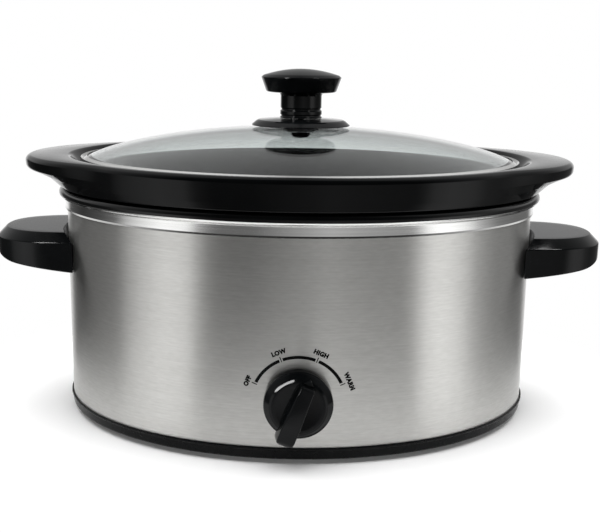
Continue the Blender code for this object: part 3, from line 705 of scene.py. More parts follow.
@dataclass(frozen=True)
class StampedMetal(Finish):
    """Plated or plain small metalwork, with a spangle and handling marks."""

    dark: Colour = (0.50, 0.50, 0.51)
    light: Colour = (0.68, 0.68, 0.69)
    smoothest: float = 0.22
    roughest: float = 0.40
    spangle: float = 2.2

    def dress(self, surface: Surface) -> None:
        """Breaks the plating into flat grains, and dulls it in patches.

        Args:
            surface: the surface whose nodes are made.
        """
        at = surface.place()
        grains = surface.node("TexVoronoi", {"Vector": at, "Scale": 1 / (self.spangle * MM)})
        patches = surface.noise(at, 260.0, 5.0)
        surface.bumped(surface.noise(at, 900.0, 3.0), 0.01, 0.5)
        surface.feed(
            Base_Color=surface.mixed(grains.outputs["Distance"], self.light, self.dark),
            Roughness=surface.ranged(patches, self.smoothest, self.roughest),
        )
        surface.set(Metallic=1.0)


@dataclass(frozen=True)
class WovenGlassCloth(Finish):
    """Woven glass cloth, or braided sleeve, in two crossing directions."""

    dark: Colour = (0.42, 0.40, 0.34)
    light: Colour = (0.78, 0.76, 0.68)
    pitch: float = 1.6

    def dress(self, surface: Surface) -> None:
        """Crosses two sets of threads.

        Args:
            surface: the surface whose nodes are made.
        """
        threads = []
        for direction, closeness in (("Z", 0.32), ("DIAGONAL", 0.45)):
            feeds = {"Vector": surface.place(), "Scale": closeness / (self.pitch * MM)}
            feeds |= {"Distortion": 0.6, "Detail": 1.0}
            wave = surface.node("TexWave", feeds, wave_type="BANDS", bands_direction=direction)
            threads.append(wave.outputs["Fac"])
        weave = surface.node("Math", dict(enumerate(threads)), operation="MULTIPLY").outputs[0]
        surface.bumped(weave, 0.25, 0.8)
        surface.feed(
            Base_Color=surface.mixed(weave, self.dark, self.light),
            Roughness=surface.ranged(weave, 0.75, 0.92),
        )


WRAP_STEEL = BrushedSteel("brushed_steel_wrap")
RIM_STEEL = PolishedSteel("polished_steel_rim")
LID_STEEL = PolishedSteel("polished_lid_band", smoothest=0.12, roughest=0.22)
PLATED_STEEL = StampedMetal("zinc_plated_steel")
BRASS = StampedMetal("stamped_brass", (0.66, 0.47, 0.17), (0.84, 0.65, 0.30), 0.24, 0.42, 3.0)
BLACK_GLOSS = GlossPlastic("black_gloss_plastic")
TRAY_SATIN = GlossPlastic("black_tray_plastic", smoothest=0.22, roughest=0.32, shine=0.10)
DIAL_GLOSS = GlossPlastic("black_dial_plastic", smoothest=0.06, roughest=0.10, depth=0.003, shine=0.12)
KNOB_GLOSS = GlossPlastic("black_knob_plastic", smoothest=0.05, roughest=0.10, depth=0.003)
GLAZE = StonewareGlaze("black_stoneware_glaze")
# painted reflection: this black finish on the well's rolled top stands in for the dark crock mirrored in the
# polished roll
RIM_PAINTED_REFLECTION = StonewareGlaze("black_rim_enamel", smoothest=0.12, roughest=0.2, depth=0.01, shine=0.3)
LID_GLASS = ClearGlass("tempered_lid_glass")
FOOT_RUBBER = Rubber("black_foot_rubber")
SILICONE = Rubber("grey_silicone_gasket", (0.24, 0.24, 0.25), (0.36, 0.36, 0.37), 0.5, 0.65)
HEATER_CLOTH = WovenGlassCloth("woven_heater_cloth")
SLEEVE = WovenGlassCloth("braided_lead_sleeve", (0.40, 0.38, 0.34), (0.70, 0.68, 0.63), 0.9)
RESIN = MouldedResin("pale_switch_resin")
INK = PrintedInk("black_scale_ink")


def dressed(
    name: str,
    mesh: Mesh,
    finish: Finish,
    body: Body,
    slot: Slot,
    replaced: Sequence[str] = (),
    sharp_angle: float = 35.0,
) -> None:
    """Puts a mesh in the scene as a finished piece.

    Args:
        name: the piece's name.
        mesh: its mesh, in place.
        finish: what it is made of.
        body: the body it rides on.
        slot: the record's slot for its finish; not used.
        replaced: the frame's nodes that it stands for.
        sharp_angle: the angle from which an edge stays sharp.
    """
    mesh.name = name
    mesh.materials.clear()
    mesh.materials.append(finish.material())
    mesh.shade_smooth()
    mesh.set_sharp_from_angle(angle=math.radians(sharp_angle))
    piece = bpy.data.objects.new(name, mesh)
    bpy.context.scene.collection.objects.link(piece)
    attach(piece, body.value)
    if replaced:
        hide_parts(*replaced)
    LOG.info("%s: %d faces on %s", name, len(mesh.polygons), body.value)


# ---------------------------------------------------------------------------- studio


def area_light(name: str, watts: float, width: float, length: float, stand: Matrix) -> bpy.types.Object:
    """Stands a soft light in the room, hidden from the camera and from rays through the glass.

    Args:
        name: the light's name.
        watts: its strength.
        width: its size across.
        length: its size along.
        stand: where it stands and how it is turned, in metres.

    Returns:
        The light.
    """
    lamp = bpy.data.lights.new(name, "AREA")
    lamp.shape = "RECTANGLE"
    lamp.size, lamp.size_y = width * MM, length * MM
    lamp.energy = watts
    light = bpy.data.objects.new(name, lamp)
    light.matrix_world = stand
    light.visible_transmission = False
    light.visible_camera = False
    bpy.context.scene.collection.objects.link(light)
    return light


def keep_to(light: bpy.types.Object, names: Iterable[str]) -> bpy.types.Collection:
    """Lets a light fall on the named objects only, and gives their collection.

    Args:
        light: the light.
        names: the names of the objects.

    Returns:
        The collection of those objects.
    """
    receivers = bpy.data.collections.new(f"{light.name}_receivers")
    for name in names:
        receivers.objects.link(bpy.data.objects[name])
    light.light_linking.receiver_collection = receivers
    return receivers


@dataclass(frozen=True)
class Studio:
    """The room: bright panels low down, a dimmer upper part, a pale floor and an overhead light.

    Each wall is a run of stops: a direction round the room, and how bright the wall is there.
    """

    low_walls: tuple[Point, ...] = (
        (-180, 1.0), (-150, 0.95), (-141, 0.10), (-118, 0.04), (-98, 0.08), (-86, 0.16), (-78, 0.62),
        (-70, 0.92), (-58, 1.30), (-46, 1.20), (-41, 0.40), (-34, 0.16), (-18, 0.16), (0, 0.36),
        (12, 0.52), (24, 0.42), (46, 0.32), (50, 0.60), (54, 1.25), (62, 1.50), (74, 1.15),
        (84, 0.50), (98, 0.22), (118, 0.16), (140, 0.16), (150, 0.90), (180, 1.0),
    )
    high_walls: tuple[Point, ...] = (
        (-180, 0.42), (-150, 0.60), (-120, 1.00), (-85, 0.60), (-50, 0.05), (0, 0.03),
        (50, 0.05), (85, 0.60), (120, 1.00), (150, 0.60), (180, 0.42),
    )
    low_gain: float = 1.06
    dim_from: float = 0.03
    dim_to: float = 0.20
    floor_radius: float = 175.0
    floor_fade: float = 90.0
    floor_steps: int = 16
    floor_drop: float = 0.02
    overhead_size: float = 2000.0
    overhead_height: float = 1400.0
    overhead_watts: float = 30.0
    floor_watts: float = 16.0

    def build(self) -> None:
        """Makes the room, the floor, the overhead light and the floor's own light."""
        scene = bpy.context.scene
        scene.view_settings.view_transform = "Standard"
        scene.view_settings.look = "None"
        self.build_walls(scene)
        self.build_floor()
        self.hang_light("overhead", self.overhead_watts)
        floor_light = self.hang_light("floor_fill", self.floor_watts)
        floor_light.light_linking.blocker_collection = keep_to(floor_light, ["floor"])

    def build_walls(self, scene: bpy.types.Scene) -> None:
        """Paints the room by direction, and shows plain white behind the object.

        Args:
            scene: the scene whose world is made.
        """
        world = bpy.data.worlds.new("studio_walls")
        scene.world = world
        world.use_nodes = True
        world.node_tree.nodes.clear()
        sheet = NodeSheet(world.node_tree)
        parts = sheet.node("SeparateXYZ", {0: sheet.node("TexCoord").outputs["Generated"]}).outputs
        forward = sheet.node("Math", {0: parts["Y"], 1: -1.0}, operation="MULTIPLY").outputs[0]
        turn = sheet.node("Math", {0: parts["X"], 1: forward}, operation="ARCTAN2").outputs[0]
        share = sheet.node("MapRange", {"Value": turn, "From Min": -math.pi, "From Max": math.pi})
        low = self.wall(sheet, self.low_walls, share.outputs["Result"], self.low_gain)
        high = self.wall(sheet, self.high_walls, share.outputs["Result"], 1.0)
        height = {"Value": parts["Z"], "From Min": self.dim_from, "From Max": self.dim_to}
        rise = sheet.node("MapRange", height, interpolation_type="SMOOTHSTEP").outputs["Result"]
        room = sheet.node("MixShader", {"Fac": rise, 1: low, 2: high}).outputs[0]
        plain = sheet.node("Background", {"Color": (1.0, 1.0, 1.0, 1.0)}).outputs[0]
        seen = sheet.node("LightPath").outputs["Is Camera Ray"]
        choice = sheet.node("MixShader", {"Fac": seen, 1: room, 2: plain}).outputs[0]
        sheet.node("OutputWorld", {"Surface": choice})

    def wall(self, sheet: NodeSheet, stops: Sequence[Point], turn: Socket, gain: float) -> Socket:
        """Paints one band of wall.

        Args:
            sheet: the world's nodes.
            stops: the levels round the room.
            turn: where a direction lies round the room, from 0 to 1.
            gain: what every level is multiplied by.

        Returns:
            The shader that gives the band's light.
        """
        brightest = max(level for _, level in stops)
        ramp = sheet.node("ValToRGB", {"Fac": turn})
        while len(ramp.color_ramp.elements) < len(stops):
            ramp.color_ramp.elements.new(0.5)
        for element, (azimuth, _) in zip(ramp.color_ramp.elements, stops, strict=True):
            element.position = (azimuth + 180) / 360
        for element, (_, level) in zip(ramp.color_ramp.elements, stops, strict=True):
            element.color = (*[level / brightest] * 3, 1.0)
        feeds = {"Color": ramp.outputs["Color"], "Strength": brightest * gain}
        return sheet.node("Background", feeds).outputs[0]

    def build_floor(self) -> None:
        """Lays the pale floor, which fades away at its edge."""
        reach, steps = self.floor_radius + self.floor_fade, self.floor_steps
        mesh = turned([(reach * (steps - i) / steps, 0.0) for i in range(steps + 1)], upright())
        for polygon in mesh.polygons:
            if polygon.normal.z < 0:
                polygon.flip()
        surface = Surface("pale_floor")
        at = surface.place()
        distance = surface.node("VectorMath", {0: at}, operation="LENGTH").outputs["Value"]
        fade = {"Value": distance, "From Min": self.floor_radius * MM, "From Max": reach * MM}
        fade |= {"To Min": 1.0, "To Max": 0.0}
        surface.feed(
            Base_Color=surface.mixed(surface.noise(at, 9.0, 4.0), (0.93, 0.93, 0.93), (0.95, 0.95, 0.95)),
            Alpha=surface.node("MapRange", fade, interpolation_type="SMOOTHSTEP").outputs["Result"],
        )
        surface.set(Roughness=0.7, Specular_IOR_Level=0.1)
        mesh.materials.append(surface.material)
        floor = bpy.data.objects.new("floor", mesh)
        bpy.context.scene.collection.objects.link(floor)
        floor.location.z = -self.floor_drop * MM

    def hang_light(self, name: str, watts: float) -> bpy.types.Object:
        """Hangs a broad soft light above, without a mirror image of itself, and gives it.

        Args:
            name: the light's name.
            watts: its strength.

        Returns:
            The light.
        """
        stand = Matrix.Translation((0.0, 0.0, self.overhead_height * MM))
        light = area_light(name, watts, self.overhead_size, self.overhead_size, stand)
        light.visible_glossy = False
        return light


@dataclass(frozen=True)
class Glint:
    """A long narrow light beside the camera, which only the pieces it is meant for reflect."""

    name: str
    place: Size
    along: Size
    width: float
    length: float
    watts: float
    pieces: tuple[str, ...]
    aim_height: float = 100.0

    def build(self) -> None:
        """Stands the light, turns its long side along its line and faces it to the object."""
        place = Vector(self.place)
        away = (place - Vector((0.0, OVAL.centre_y, self.aim_height))).normalized()
        across = Vector(self.along).cross(away).normalized()
        turn = Matrix((across, away.cross(across), away)).transposed()
        stand = Matrix.Translation(place * MM) @ turn.to_4x4()
        keep_to(area_light(self.name, self.watts, self.width, self.length, stand), self.pieces)


@dataclass(frozen=True)
class Viewpoint:
    """The camera, a little above the lid and looking slightly down at the front."""

    place: Size = (-5.4, -647.85, 234.4)
    pitch: float = 12.39
    pan: float = 0.554
    roll: float = 0.888
    lens: float = 59.75

    def build(self) -> None:
        """Makes the camera and gives it to the scene."""
        pitch, pan, roll = (math.radians(angle) for angle in (self.pitch, self.pan, self.roll))
        level = math.cos(pitch)
        ahead = Vector((math.sin(pan) * level, math.cos(pan) * level, -math.sin(pitch)))
        right = ahead.cross(Vector((0, 0, 1))).normalized()
        up = right.cross(ahead)
        tilted_right = right * math.cos(roll) + up * math.sin(roll)
        tilted_up = up * math.cos(roll) - right * math.sin(roll)
        turn = Matrix((tilted_right, tilted_up, -ahead)).transposed()
        data = bpy.data.cameras.new("viewpoint")
        data.lens = self.lens
        data.sensor_width = 36.0
        data.clip_start = 0.01
        camera = bpy.data.objects.new("viewpoint", data)
        camera.matrix_world = Matrix.Translation(Vector(self.place) * MM) @ turn.to_4x4()
        bpy.context.scene.collection.objects.link(camera)
        bpy.context.scene.camera = camera


# ---------------------------------------------------------------------------- heated base


FEET = ("foot_front_left", "foot_front_right", "foot_rear_left", "foot_rear_right")


@dataclass(frozen=True)
class BasePan:
    """The moulded tray under the wrap, with its holes for the feet, the tie and the vents."""

    underside: float = 6.4
    floor_top: float = 8.9
    lip_top: float = 10.4
    ring_bottom: float = 3.0
    tie_bore: float = 2.9
    foot_bore: float = 3.3
    vents: tuple[float, ...] = (-52.0, -40.0, 40.0, 52.0)
    vent_half_length: float = 20.0
    vent_half_width: float = 1.5
    vent_end_steps: int = 8
    tool_reach: float = 2.0

    def build(self) -> None:
        """Makes the tray."""
        corners = (
            (-30.0, self.floor_top), (-3.0, self.floor_top, 0.6), (-3.0, 7.9, 0.4), (0.3, 7.9, 0.2),
            (0.3, self.lip_top, 0.3), (1.2, self.lip_top, 0.45), (1.2, 9.2, 0.5), (0.5, 8.5, 0.6),
            (0.2, 4.0, 1.2), (-0.9, self.ring_bottom, 0.8), (-3.6, self.ring_bottom, 0.6),
            (-4.6, self.underside, 0.8), (-30.0, self.underside),
        )
        bores = [self.bore(0.0, OVAL.centre_y, self.tie_bore)]
        for foot in map(node_middle, FEET):
            bores.append(self.bore(foot.x, foot.y, self.foot_bore))
        bores += [self.vent(x) for x in self.vents]
        mesh = shaped(swept(rounded(corners), closed=False), bores)
        dressed("base_tray", mesh, TRAY_SATIN, Body.BASE, Slot.PLASTIC, ["base_pan"])

    def tool_heights(self) -> tuple[float, float]:
        """Gives the heights between which a tool passes through the tray."""
        return self.underside - self.tool_reach, self.floor_top + self.tool_reach

    def bore(self, x: float, y: float, radius: float) -> Mesh:
        """Gives the tool for a round hole through the tray."""
        low, high = self.tool_heights()
        return rod(Vector((x, y, low)), Vector((x, y, high)), radius)

    def vent(self, x: float) -> Mesh:
        """Gives the tool for one vent slot, with round ends.

        Args:
            x: the slot's place along the tray.

        Returns:
            The tool's closed mesh.
        """
        outline = []
        for end, start in ((1, 0.0), (-1, math.pi)):
            for i in range(self.vent_end_steps + 1):
                angle = start + math.pi * i / self.vent_end_steps
                y = OVAL.centre_y + end * (self.vent_half_length - self.vent_half_width)
                run, rise = math.cos(angle), math.sin(angle)
                outline.append((x + self.vent_half_width * run, y + self.vent_half_width * rise))
        return lofted([[Vector((u, v, z)) for u, v in outline] for z in self.tool_heights()], caps=True)


@dataclass(frozen=True)
class SteelWrap:
    """The brushed sheet round the body, bored for what passes through it."""

    wall: float = 0.6
    rows: int = 12
    shaft_bore: float = 4.2
    screw_bore: float = 1.9
    screw_spread: float = 14.0
    handle_bore: float = 2.2
    inlet_bore: float = 6.4
    tool_reach: float = 8.0
    handle_tool_reach: float = 9.0

    def build(self) -> None:
        """Makes the wrap."""
        low, high = node_box("outer_shell")
        heights = [low.z + (high.z - low.z) * i / self.rows for i in range(self.rows + 1)]
        section = [(0.0, z) for z in heights] + [(-self.wall, z) for z in reversed(heights)]
        mesh = shaped(swept(section), [*self.front_bores(), *self.handle_bores(), self.cord_bore()])
        dressed("steel_wrap", mesh, WRAP_STEEL, Body.BASE, Slot.WRAP, ["outer_shell"])

    def bore(self, x: float, y: float, z: float, radius: float) -> Mesh:
        """Gives the tool for a hole that runs from front to rear."""
        return through(Vector((x, y, z)), Vector((0.0, self.tool_reach, 0.0)), radius)

    def front_bores(self) -> list[Mesh]:
        """Gives the tools for the dial's shaft and the switch's two screws.

        Returns:
            One tool for each hole.
        """
        centre, spread = DialAxis.place(), self.screw_spread
        holes = ((0.0, self.shaft_bore), (-spread, self.screw_bore), (spread, self.screw_bore))
        return [self.bore(x, centre.y, centre.z, radius) for x, radius in holes]

    def handle_bores(self) -> list[Mesh]:
        """Gives the tools for the four handle screws.

        Returns:
            One tool for each hole.
        """
        tools = []
        for side in Side:
            reach = Vector((side.value * self.handle_tool_reach, 0, 0))
            for end in ("front", "rear"):
                middle = node_middle(f"handle_screw_{side.name.lower()}_{end}")
                tools.append(through(middle, reach, self.handle_bore))
        return tools

    def cord_bore(self) -> Mesh:
        """Gives the tool for the cord inlet."""
        middle = node_middle("cord_gland")
        return self.bore(middle.x, OVAL.centre_y + OVAL.half_width, middle.z, self.inlet_bore)


@dataclass(frozen=True)
class Well:
    """The formed steel well: floor, wall, flare, rolled top and the skirt over the wrap."""

    wall: float = 0.7
    roll_radius: float = 3.4
    roll_across: float = 1.6
    roll_start: float = 104.0
    roll_end: float = -84.0
    roll_steps: int = 26
    skirt_bottom: float = 132.6
    skirt_flare: float = 0.45
    # The rolled top above this height and outside this offset gets the black painted reflection of the
    # crock.
    painted_reflection_above: float = 141.5
    painted_reflection_outside: float = -6.0

    def build(self) -> None:
        """Makes the well."""
        low, high = node_box("liner")
        floor, top = low.z + self.wall, high.z
        line = rounded((
            (-30.0, floor), (-23.4, floor, 6.0), (-19.5, floor + 8, 6.0), (-7.0, 138.0, 8.0),
            (-5.2, 143.2, 3.0), (-1.6, top - 0.15, 3.0), (0.4, top - 0.05),
        ))
        for i in range(self.roll_steps + 1):
            angle = math.radians(self.roll_start + (self.roll_end - self.roll_start) * i / self.roll_steps)
            across = self.roll_across + self.roll_radius * math.cos(angle)
            line.append((across, top - self.roll_radius + self.roll_radius * math.sin(angle)))
        skirt = (
            (1.75, 139.2), (1.15, 138.9, 0.5), (1.05, self.skirt_bottom + 1.0, 0.6),
            (1.05 + self.skirt_flare, self.skirt_bottom),
        )
        line += rounded(skirt)[1:]
        mesh = swept(self.sheet(line), closed=False)
        dressed("steel_well", mesh, RIM_STEEL, Body.BASE, Slot.RIM, ["liner"])
        self.paint_crock_reflection(mesh)

    def paint_crock_reflection(self, mesh: Mesh) -> None:
        """Paints the rolled top black, a painted reflection of the dark crock, down to the bright line above
        the skirt.

        Args:
            mesh: the well's mesh, with its steel in place.
        """
        mesh.materials.append(RIM_PAINTED_REFLECTION.material())
        length, width = OVAL.half_length + self.painted_reflection_outside, OVAL.half_width + self.painted_reflection_outside
        for polygon in mesh.polygons:
            x, y, z = polygon.center / MM
            outside = math.hypot(x / length, (y - OVAL.centre_y) / width) > 1.0
            if z > self.painted_reflection_above and outside:
                polygon.material_index = 1

    def sheet(self, line: Sequence[Point]) -> list[Point]:
        """Gives a line its thickness, on the side away from the food.

        Args:
            line: the inner face, from the floor to the skirt's edge.

        Returns:
            The closed outline of the sheet, both faces of the floor included.
        """
        far = []
        for i, (across, height) in enumerate(line):
            before, after = line[max(i - 1, 0)], line[min(i + 1, len(line) - 1)]
            run = Vector((after[0] - before[0], after[1] - before[1])).normalized()
            far.append((across + run.y * self.wall, height - run.x * self.wall))
        return [*line, *reversed(far)]


@dataclass(frozen=True)
class DialScale:
    """The printed scale round the dial: an arc in three lengths, a tick and a word at each setting."""

    arc_radius: float = 26.6
    arc_width: float = 1.85
    tick_length: float = 3.2
    tick_width: float = 0.55
    tick_shift: float = 0.5
    gap: float = 2.2
    settings: tuple[float, ...] = (-67.3, -22.2, 22.6, 67.3)
    words: tuple[str, ...] = ("OFF", "LOW", "HIGH", "WARM")
    word_turns: tuple[float, ...] = (-68.0, -21.6, 23.5, 67.3)
    word_radius: float = 31.3
    word_height: float = 3.0
    word_weight: float = 0.075
    word_narrowing: float = 0.96
    word_spacing: float = 1.1
    proud: float = 0.05
    sunk: float = 0.01
    weld: float = 0.0005

    def build(self) -> None:
        """Prints the arc, the ticks and the words."""
        shapes = []
        for start, end in zip(self.settings, self.settings[1:]):
            shapes.append(self.band(self.arc_radius, self.arc_width, start + self.gap, end - self.gap))
        half_tick = math.degrees(self.tick_width / 2 / self.arc_radius)
        outwards = self.arc_radius + self.tick_shift
        for setting in self.settings:
            shapes.append(self.band(outwards, self.tick_length, setting - half_tick, setting + half_tick))
        self.lay("scale_arc", self.joined(shapes))
        words = zip(self.words, self.word_turns, strict=True)
        self.lay("scale_words", self.joined([self.word_mesh(word, turn) for word, turn in words]))

    def band(self, radius: float, width: float, start: float, end: float) -> Mesh:
        """Makes a flat piece of an arc, in the dial's plane, with angles clockwise from the top.

        Args:
            radius: the arc's radius.
            width: its width.
            start: its first angle, in degrees.
            end: its last angle, in degrees.

        Returns:
            The flat mesh.
        """
        steps = max(2, round(abs(end - start) / 2))
        turns = [math.radians(start + (end - start) * i / steps) for i in range(steps + 1)]
        edges = (radius - width / 2, radius + width / 2)
        rings = [[Vector((edge * math.sin(a), 0.0, edge * math.cos(a))) for a in turns] for edge in edges]
        return lofted(rings, round_rings=False)

    def word_mesh(self, word: str, turn: float) -> Mesh:
        """Makes a word's flat mesh, turned to follow the arc.

        Args:
            word: the word.
            turn: where its middle stands, in degrees clockwise from the top.

        Returns:
            The flat mesh.
        """
        curve = bpy.data.curves.new("word", "FONT")
        curve.body = word
        curve.size = 1.0
        curve.align_x = "CENTER"
        curve.space_character = self.word_spacing
        curve.offset = self.word_weight
        curve.resolution_u = 3
        maker = bpy.data.objects.new("word", curve)
        bpy.context.scene.collection.objects.link(maker)
        bpy.context.view_layer.update()
        graph = bpy.context.evaluated_depsgraph_get()
        mesh = bpy.data.meshes.new_from_object(maker.evaluated_get(graph))
        bpy.data.objects.remove(maker)
        heights = [vertex.co.y for vertex in mesh.vertices]
        scale = self.word_height / (max(heights) - min(heights))
        angle = math.radians(turn)
        for vertex in mesh.vertices:
            u = vertex.co.x * scale * self.word_narrowing
            v = self.word_radius - self.word_height / 2 + (vertex.co.y - min(heights)) * scale
            x = u * math.cos(angle) + v * math.sin(angle)
            z = -u * math.sin(angle) + v * math.cos(angle)
            vertex.co = Vector((x, 0.0, z)) * MM
        return mesh

    def joined(self, meshes: Sequence[Mesh]) -> Mesh:
        """Puts several flat meshes into one.

        Args:
            meshes: the flat meshes.

        Returns:
            The whole mesh.
        """
        bm = bmesh.new()
        for mesh in meshes:
            bm.from_mesh(mesh)
        bmesh.ops.remove_doubles(bm, verts=bm.verts, dist=self.weld * MM)
        whole = bpy.data.meshes.new("printed")
        bm.to_mesh(whole)
        bm.free()
        return whole

    def lay(self, name: str, mesh: Mesh) -> None:
        """Lays a flat mesh on the wrap's curved front as a thin film of ink.

        Args:
            name: the piece's name.
            mesh: the mesh, in the dial's plane and round its axis.
        """
        centre = DialAxis.place()
        bm = bmesh.new()
        bm.from_mesh(mesh)
        for vertex in bm.verts:
            vertex.co.y = OVAL.front_y(vertex.co.x / MM, self.proud) * MM
            vertex.co.z += centre.z * MM
        bmesh.ops.recalc_face_normals(bm, faces=bm.faces)
        for face in bm.faces:
            if face.normal.y > 0:
                face.normal_flip()
        edges = bmesh.ops.extrude_face_region(bm, geom=bm.faces[:])
        for item in edges["geom"]:
            if isinstance(item, bmesh.types.BMVert):
                item.co.y += (self.proud - self.sunk) * MM
        bmesh.ops.recalc_face_normals(bm, faces=bm.faces)
        bm.to_mesh(mesh)
        bm.free()
        dressed(name, mesh, INK, Body.BASE, Slot.PLASTIC)


@dataclass(frozen=True)
class SideHandle:
    """A side handle: a blunt D in plan, chamfered round its top and hollow below."""

    side: Side
    half_depth: float = 40.0
    chamfer: float = 6.0
    wall: float = 3.0
    gap: float = 0.3
    root_bottom: float = 93.0
    tip_bottom: float = 99.0
    tip_round: float = 6.0
    tip_round_from: float = 0.70
    bluntness: float = 2 / 2.35
    arc_steps: int = 48
    back_steps: int = 16
    screw_spread: float = 18.0

    def build(self) -> None:
        """Makes the handle with its two screw bosses."""
        name = f"handle_{self.side.name.lower()}"
        low, high = node_box(name)
        tip = max(abs(low.x), abs(high.x))
        rings = [self.outline(tip, inset, height, share) for inset, height, share in self.section(high.z)]
        spread = (-self.screw_spread, self.screw_spread)
        bosses = [self.screw_rod(4.2, y, 2.2, 10.0) for y in spread]
        bores = [self.screw_rod(1.8, y, -3.0, 8.6) for y in spread]
        mesh = shaped(lofted(rings, caps=True), bores, bosses)
        dressed(f"side_{name}", mesh, BLACK_GLOSS, Body.BASE, Slot.PLASTIC, [name], 30.0)

    def section(self, top: float) -> list[Size]:
        """Gives the handle's wall, from the middle of its top, round its edge and up inside.

        Args:
            top: the height of the top face.

        Returns:
            For each ring, its inset, its height, and how much it follows the rising underside.
        """
        shoulder, root, wall, chamfer = top - self.chamfer, self.root_bottom, self.wall, self.chamfer
        outer = ((chamfer + 6.0, top), (chamfer, top, 1.1), (0.0, shoulder, 1.6), (0.0, root + 4))
        edge = ((0.0, root + 4), (0.0, root, 0.9), (wall, root, 0.9), (wall, root + 4))
        inner = (
            (wall, shoulder - 4.0), (wall, shoulder - 1.0, 1.5), (chamfer + 1.5, top - wall, 1.5),
            (chamfer + 8.0, top - wall),
        )
        parts = ((rounded(outer)[:-1], 0.0), (rounded(edge), 1.0), (rounded(inner), 0.0))
        return [(inset, height, follow) for part, follow in parts for inset, height in part]

    def outline(self, tip: float, inset: float, height: float, follow: float) -> Ring:
        """Gives one ring of the handle's plan.

        Args:
            tip: the reach of the handle's tip.
            inset: how far the ring lies inside the handle's outline.
            height: the ring's height at the root.
            follow: how much of the underside's rise towards the tip it takes.

        Returns:
            The ring's points, on this handle's side.
        """
        depth = self.half_depth - inset
        stand_off = self.gap + min(inset, self.wall)
        root = OVAL.side_x(depth, stand_off)
        points = []
        for i in range(self.arc_steps + 1):
            angle = math.radians(-90 + 180 * i / self.arc_steps)
            reach = max(math.cos(angle), 0.0) ** self.bluntness
            across = math.copysign(abs(math.sin(angle)) ** self.bluntness, math.sin(angle))
            rounding = max(reach - self.tip_round_from, 0.0) / (1 - self.tip_round_from)
            rise = (self.tip_bottom - self.root_bottom) * reach
            rise += self.tip_round * (1 - math.sqrt(max(1 - rounding**2, 0.0)))
            points.append((root + (tip - inset - root) * reach, depth * across, height + rise * follow))
        for i in range(1, self.back_steps):
            y = depth * (1 - 2 * i / self.back_steps)
            points.append((OVAL.side_x(y, stand_off), y, height))
        sign = self.side.value
        return [Vector((sign * x, OVAL.centre_y + y, z)) for x, y, z in points]

    def screw_rod(self, radius: float, y: float, start: float, end: float) -> Mesh:
        """Gives a bar along a screw's line, between two distances outside the wrap.

        Args:
            radius: the bar's radius.
            y: the screw's distance from the middle of the oval.
            start: the near end's distance outside the wrap.
            end: the far end's distance outside the wrap.

        Returns:
            The bar's closed mesh.
        """
        height = node_middle(f"handle_screw_{self.side.name.lower()}_front").z
        face, sign = OVAL.side_x(y), self.side.value
        ends = [Vector((sign * (face + out), y + OVAL.centre_y, height)) for out in (start, end)]
        return rod(*ends, radius)


# ---------------------------------------------------------------------------- dial


@dataclass(frozen=True)
class DialAxis:
    """Where the dial turns, and how far it is turned at rest."""

    points_at: float = 21.5

    @staticmethod
    def place() -> Vector:
        """Gives the point where the dial's axis meets the wrap."""
        joint = next(j for j in frame["joints"] if j["name"] == "dial_turn")
        return Vector(joint["pos_m"]) / MM

    def matrix(self) -> Matrix:
        """Gives the dial's own frame: Z outwards from the wrap and Y towards its pointer."""
        turn = Matrix.Rotation(math.radians(self.points_at), 4, "Y")
        return Matrix.Translation(self.place()) @ (turn @ Matrix.Rotation(math.radians(90), 4, "X"))


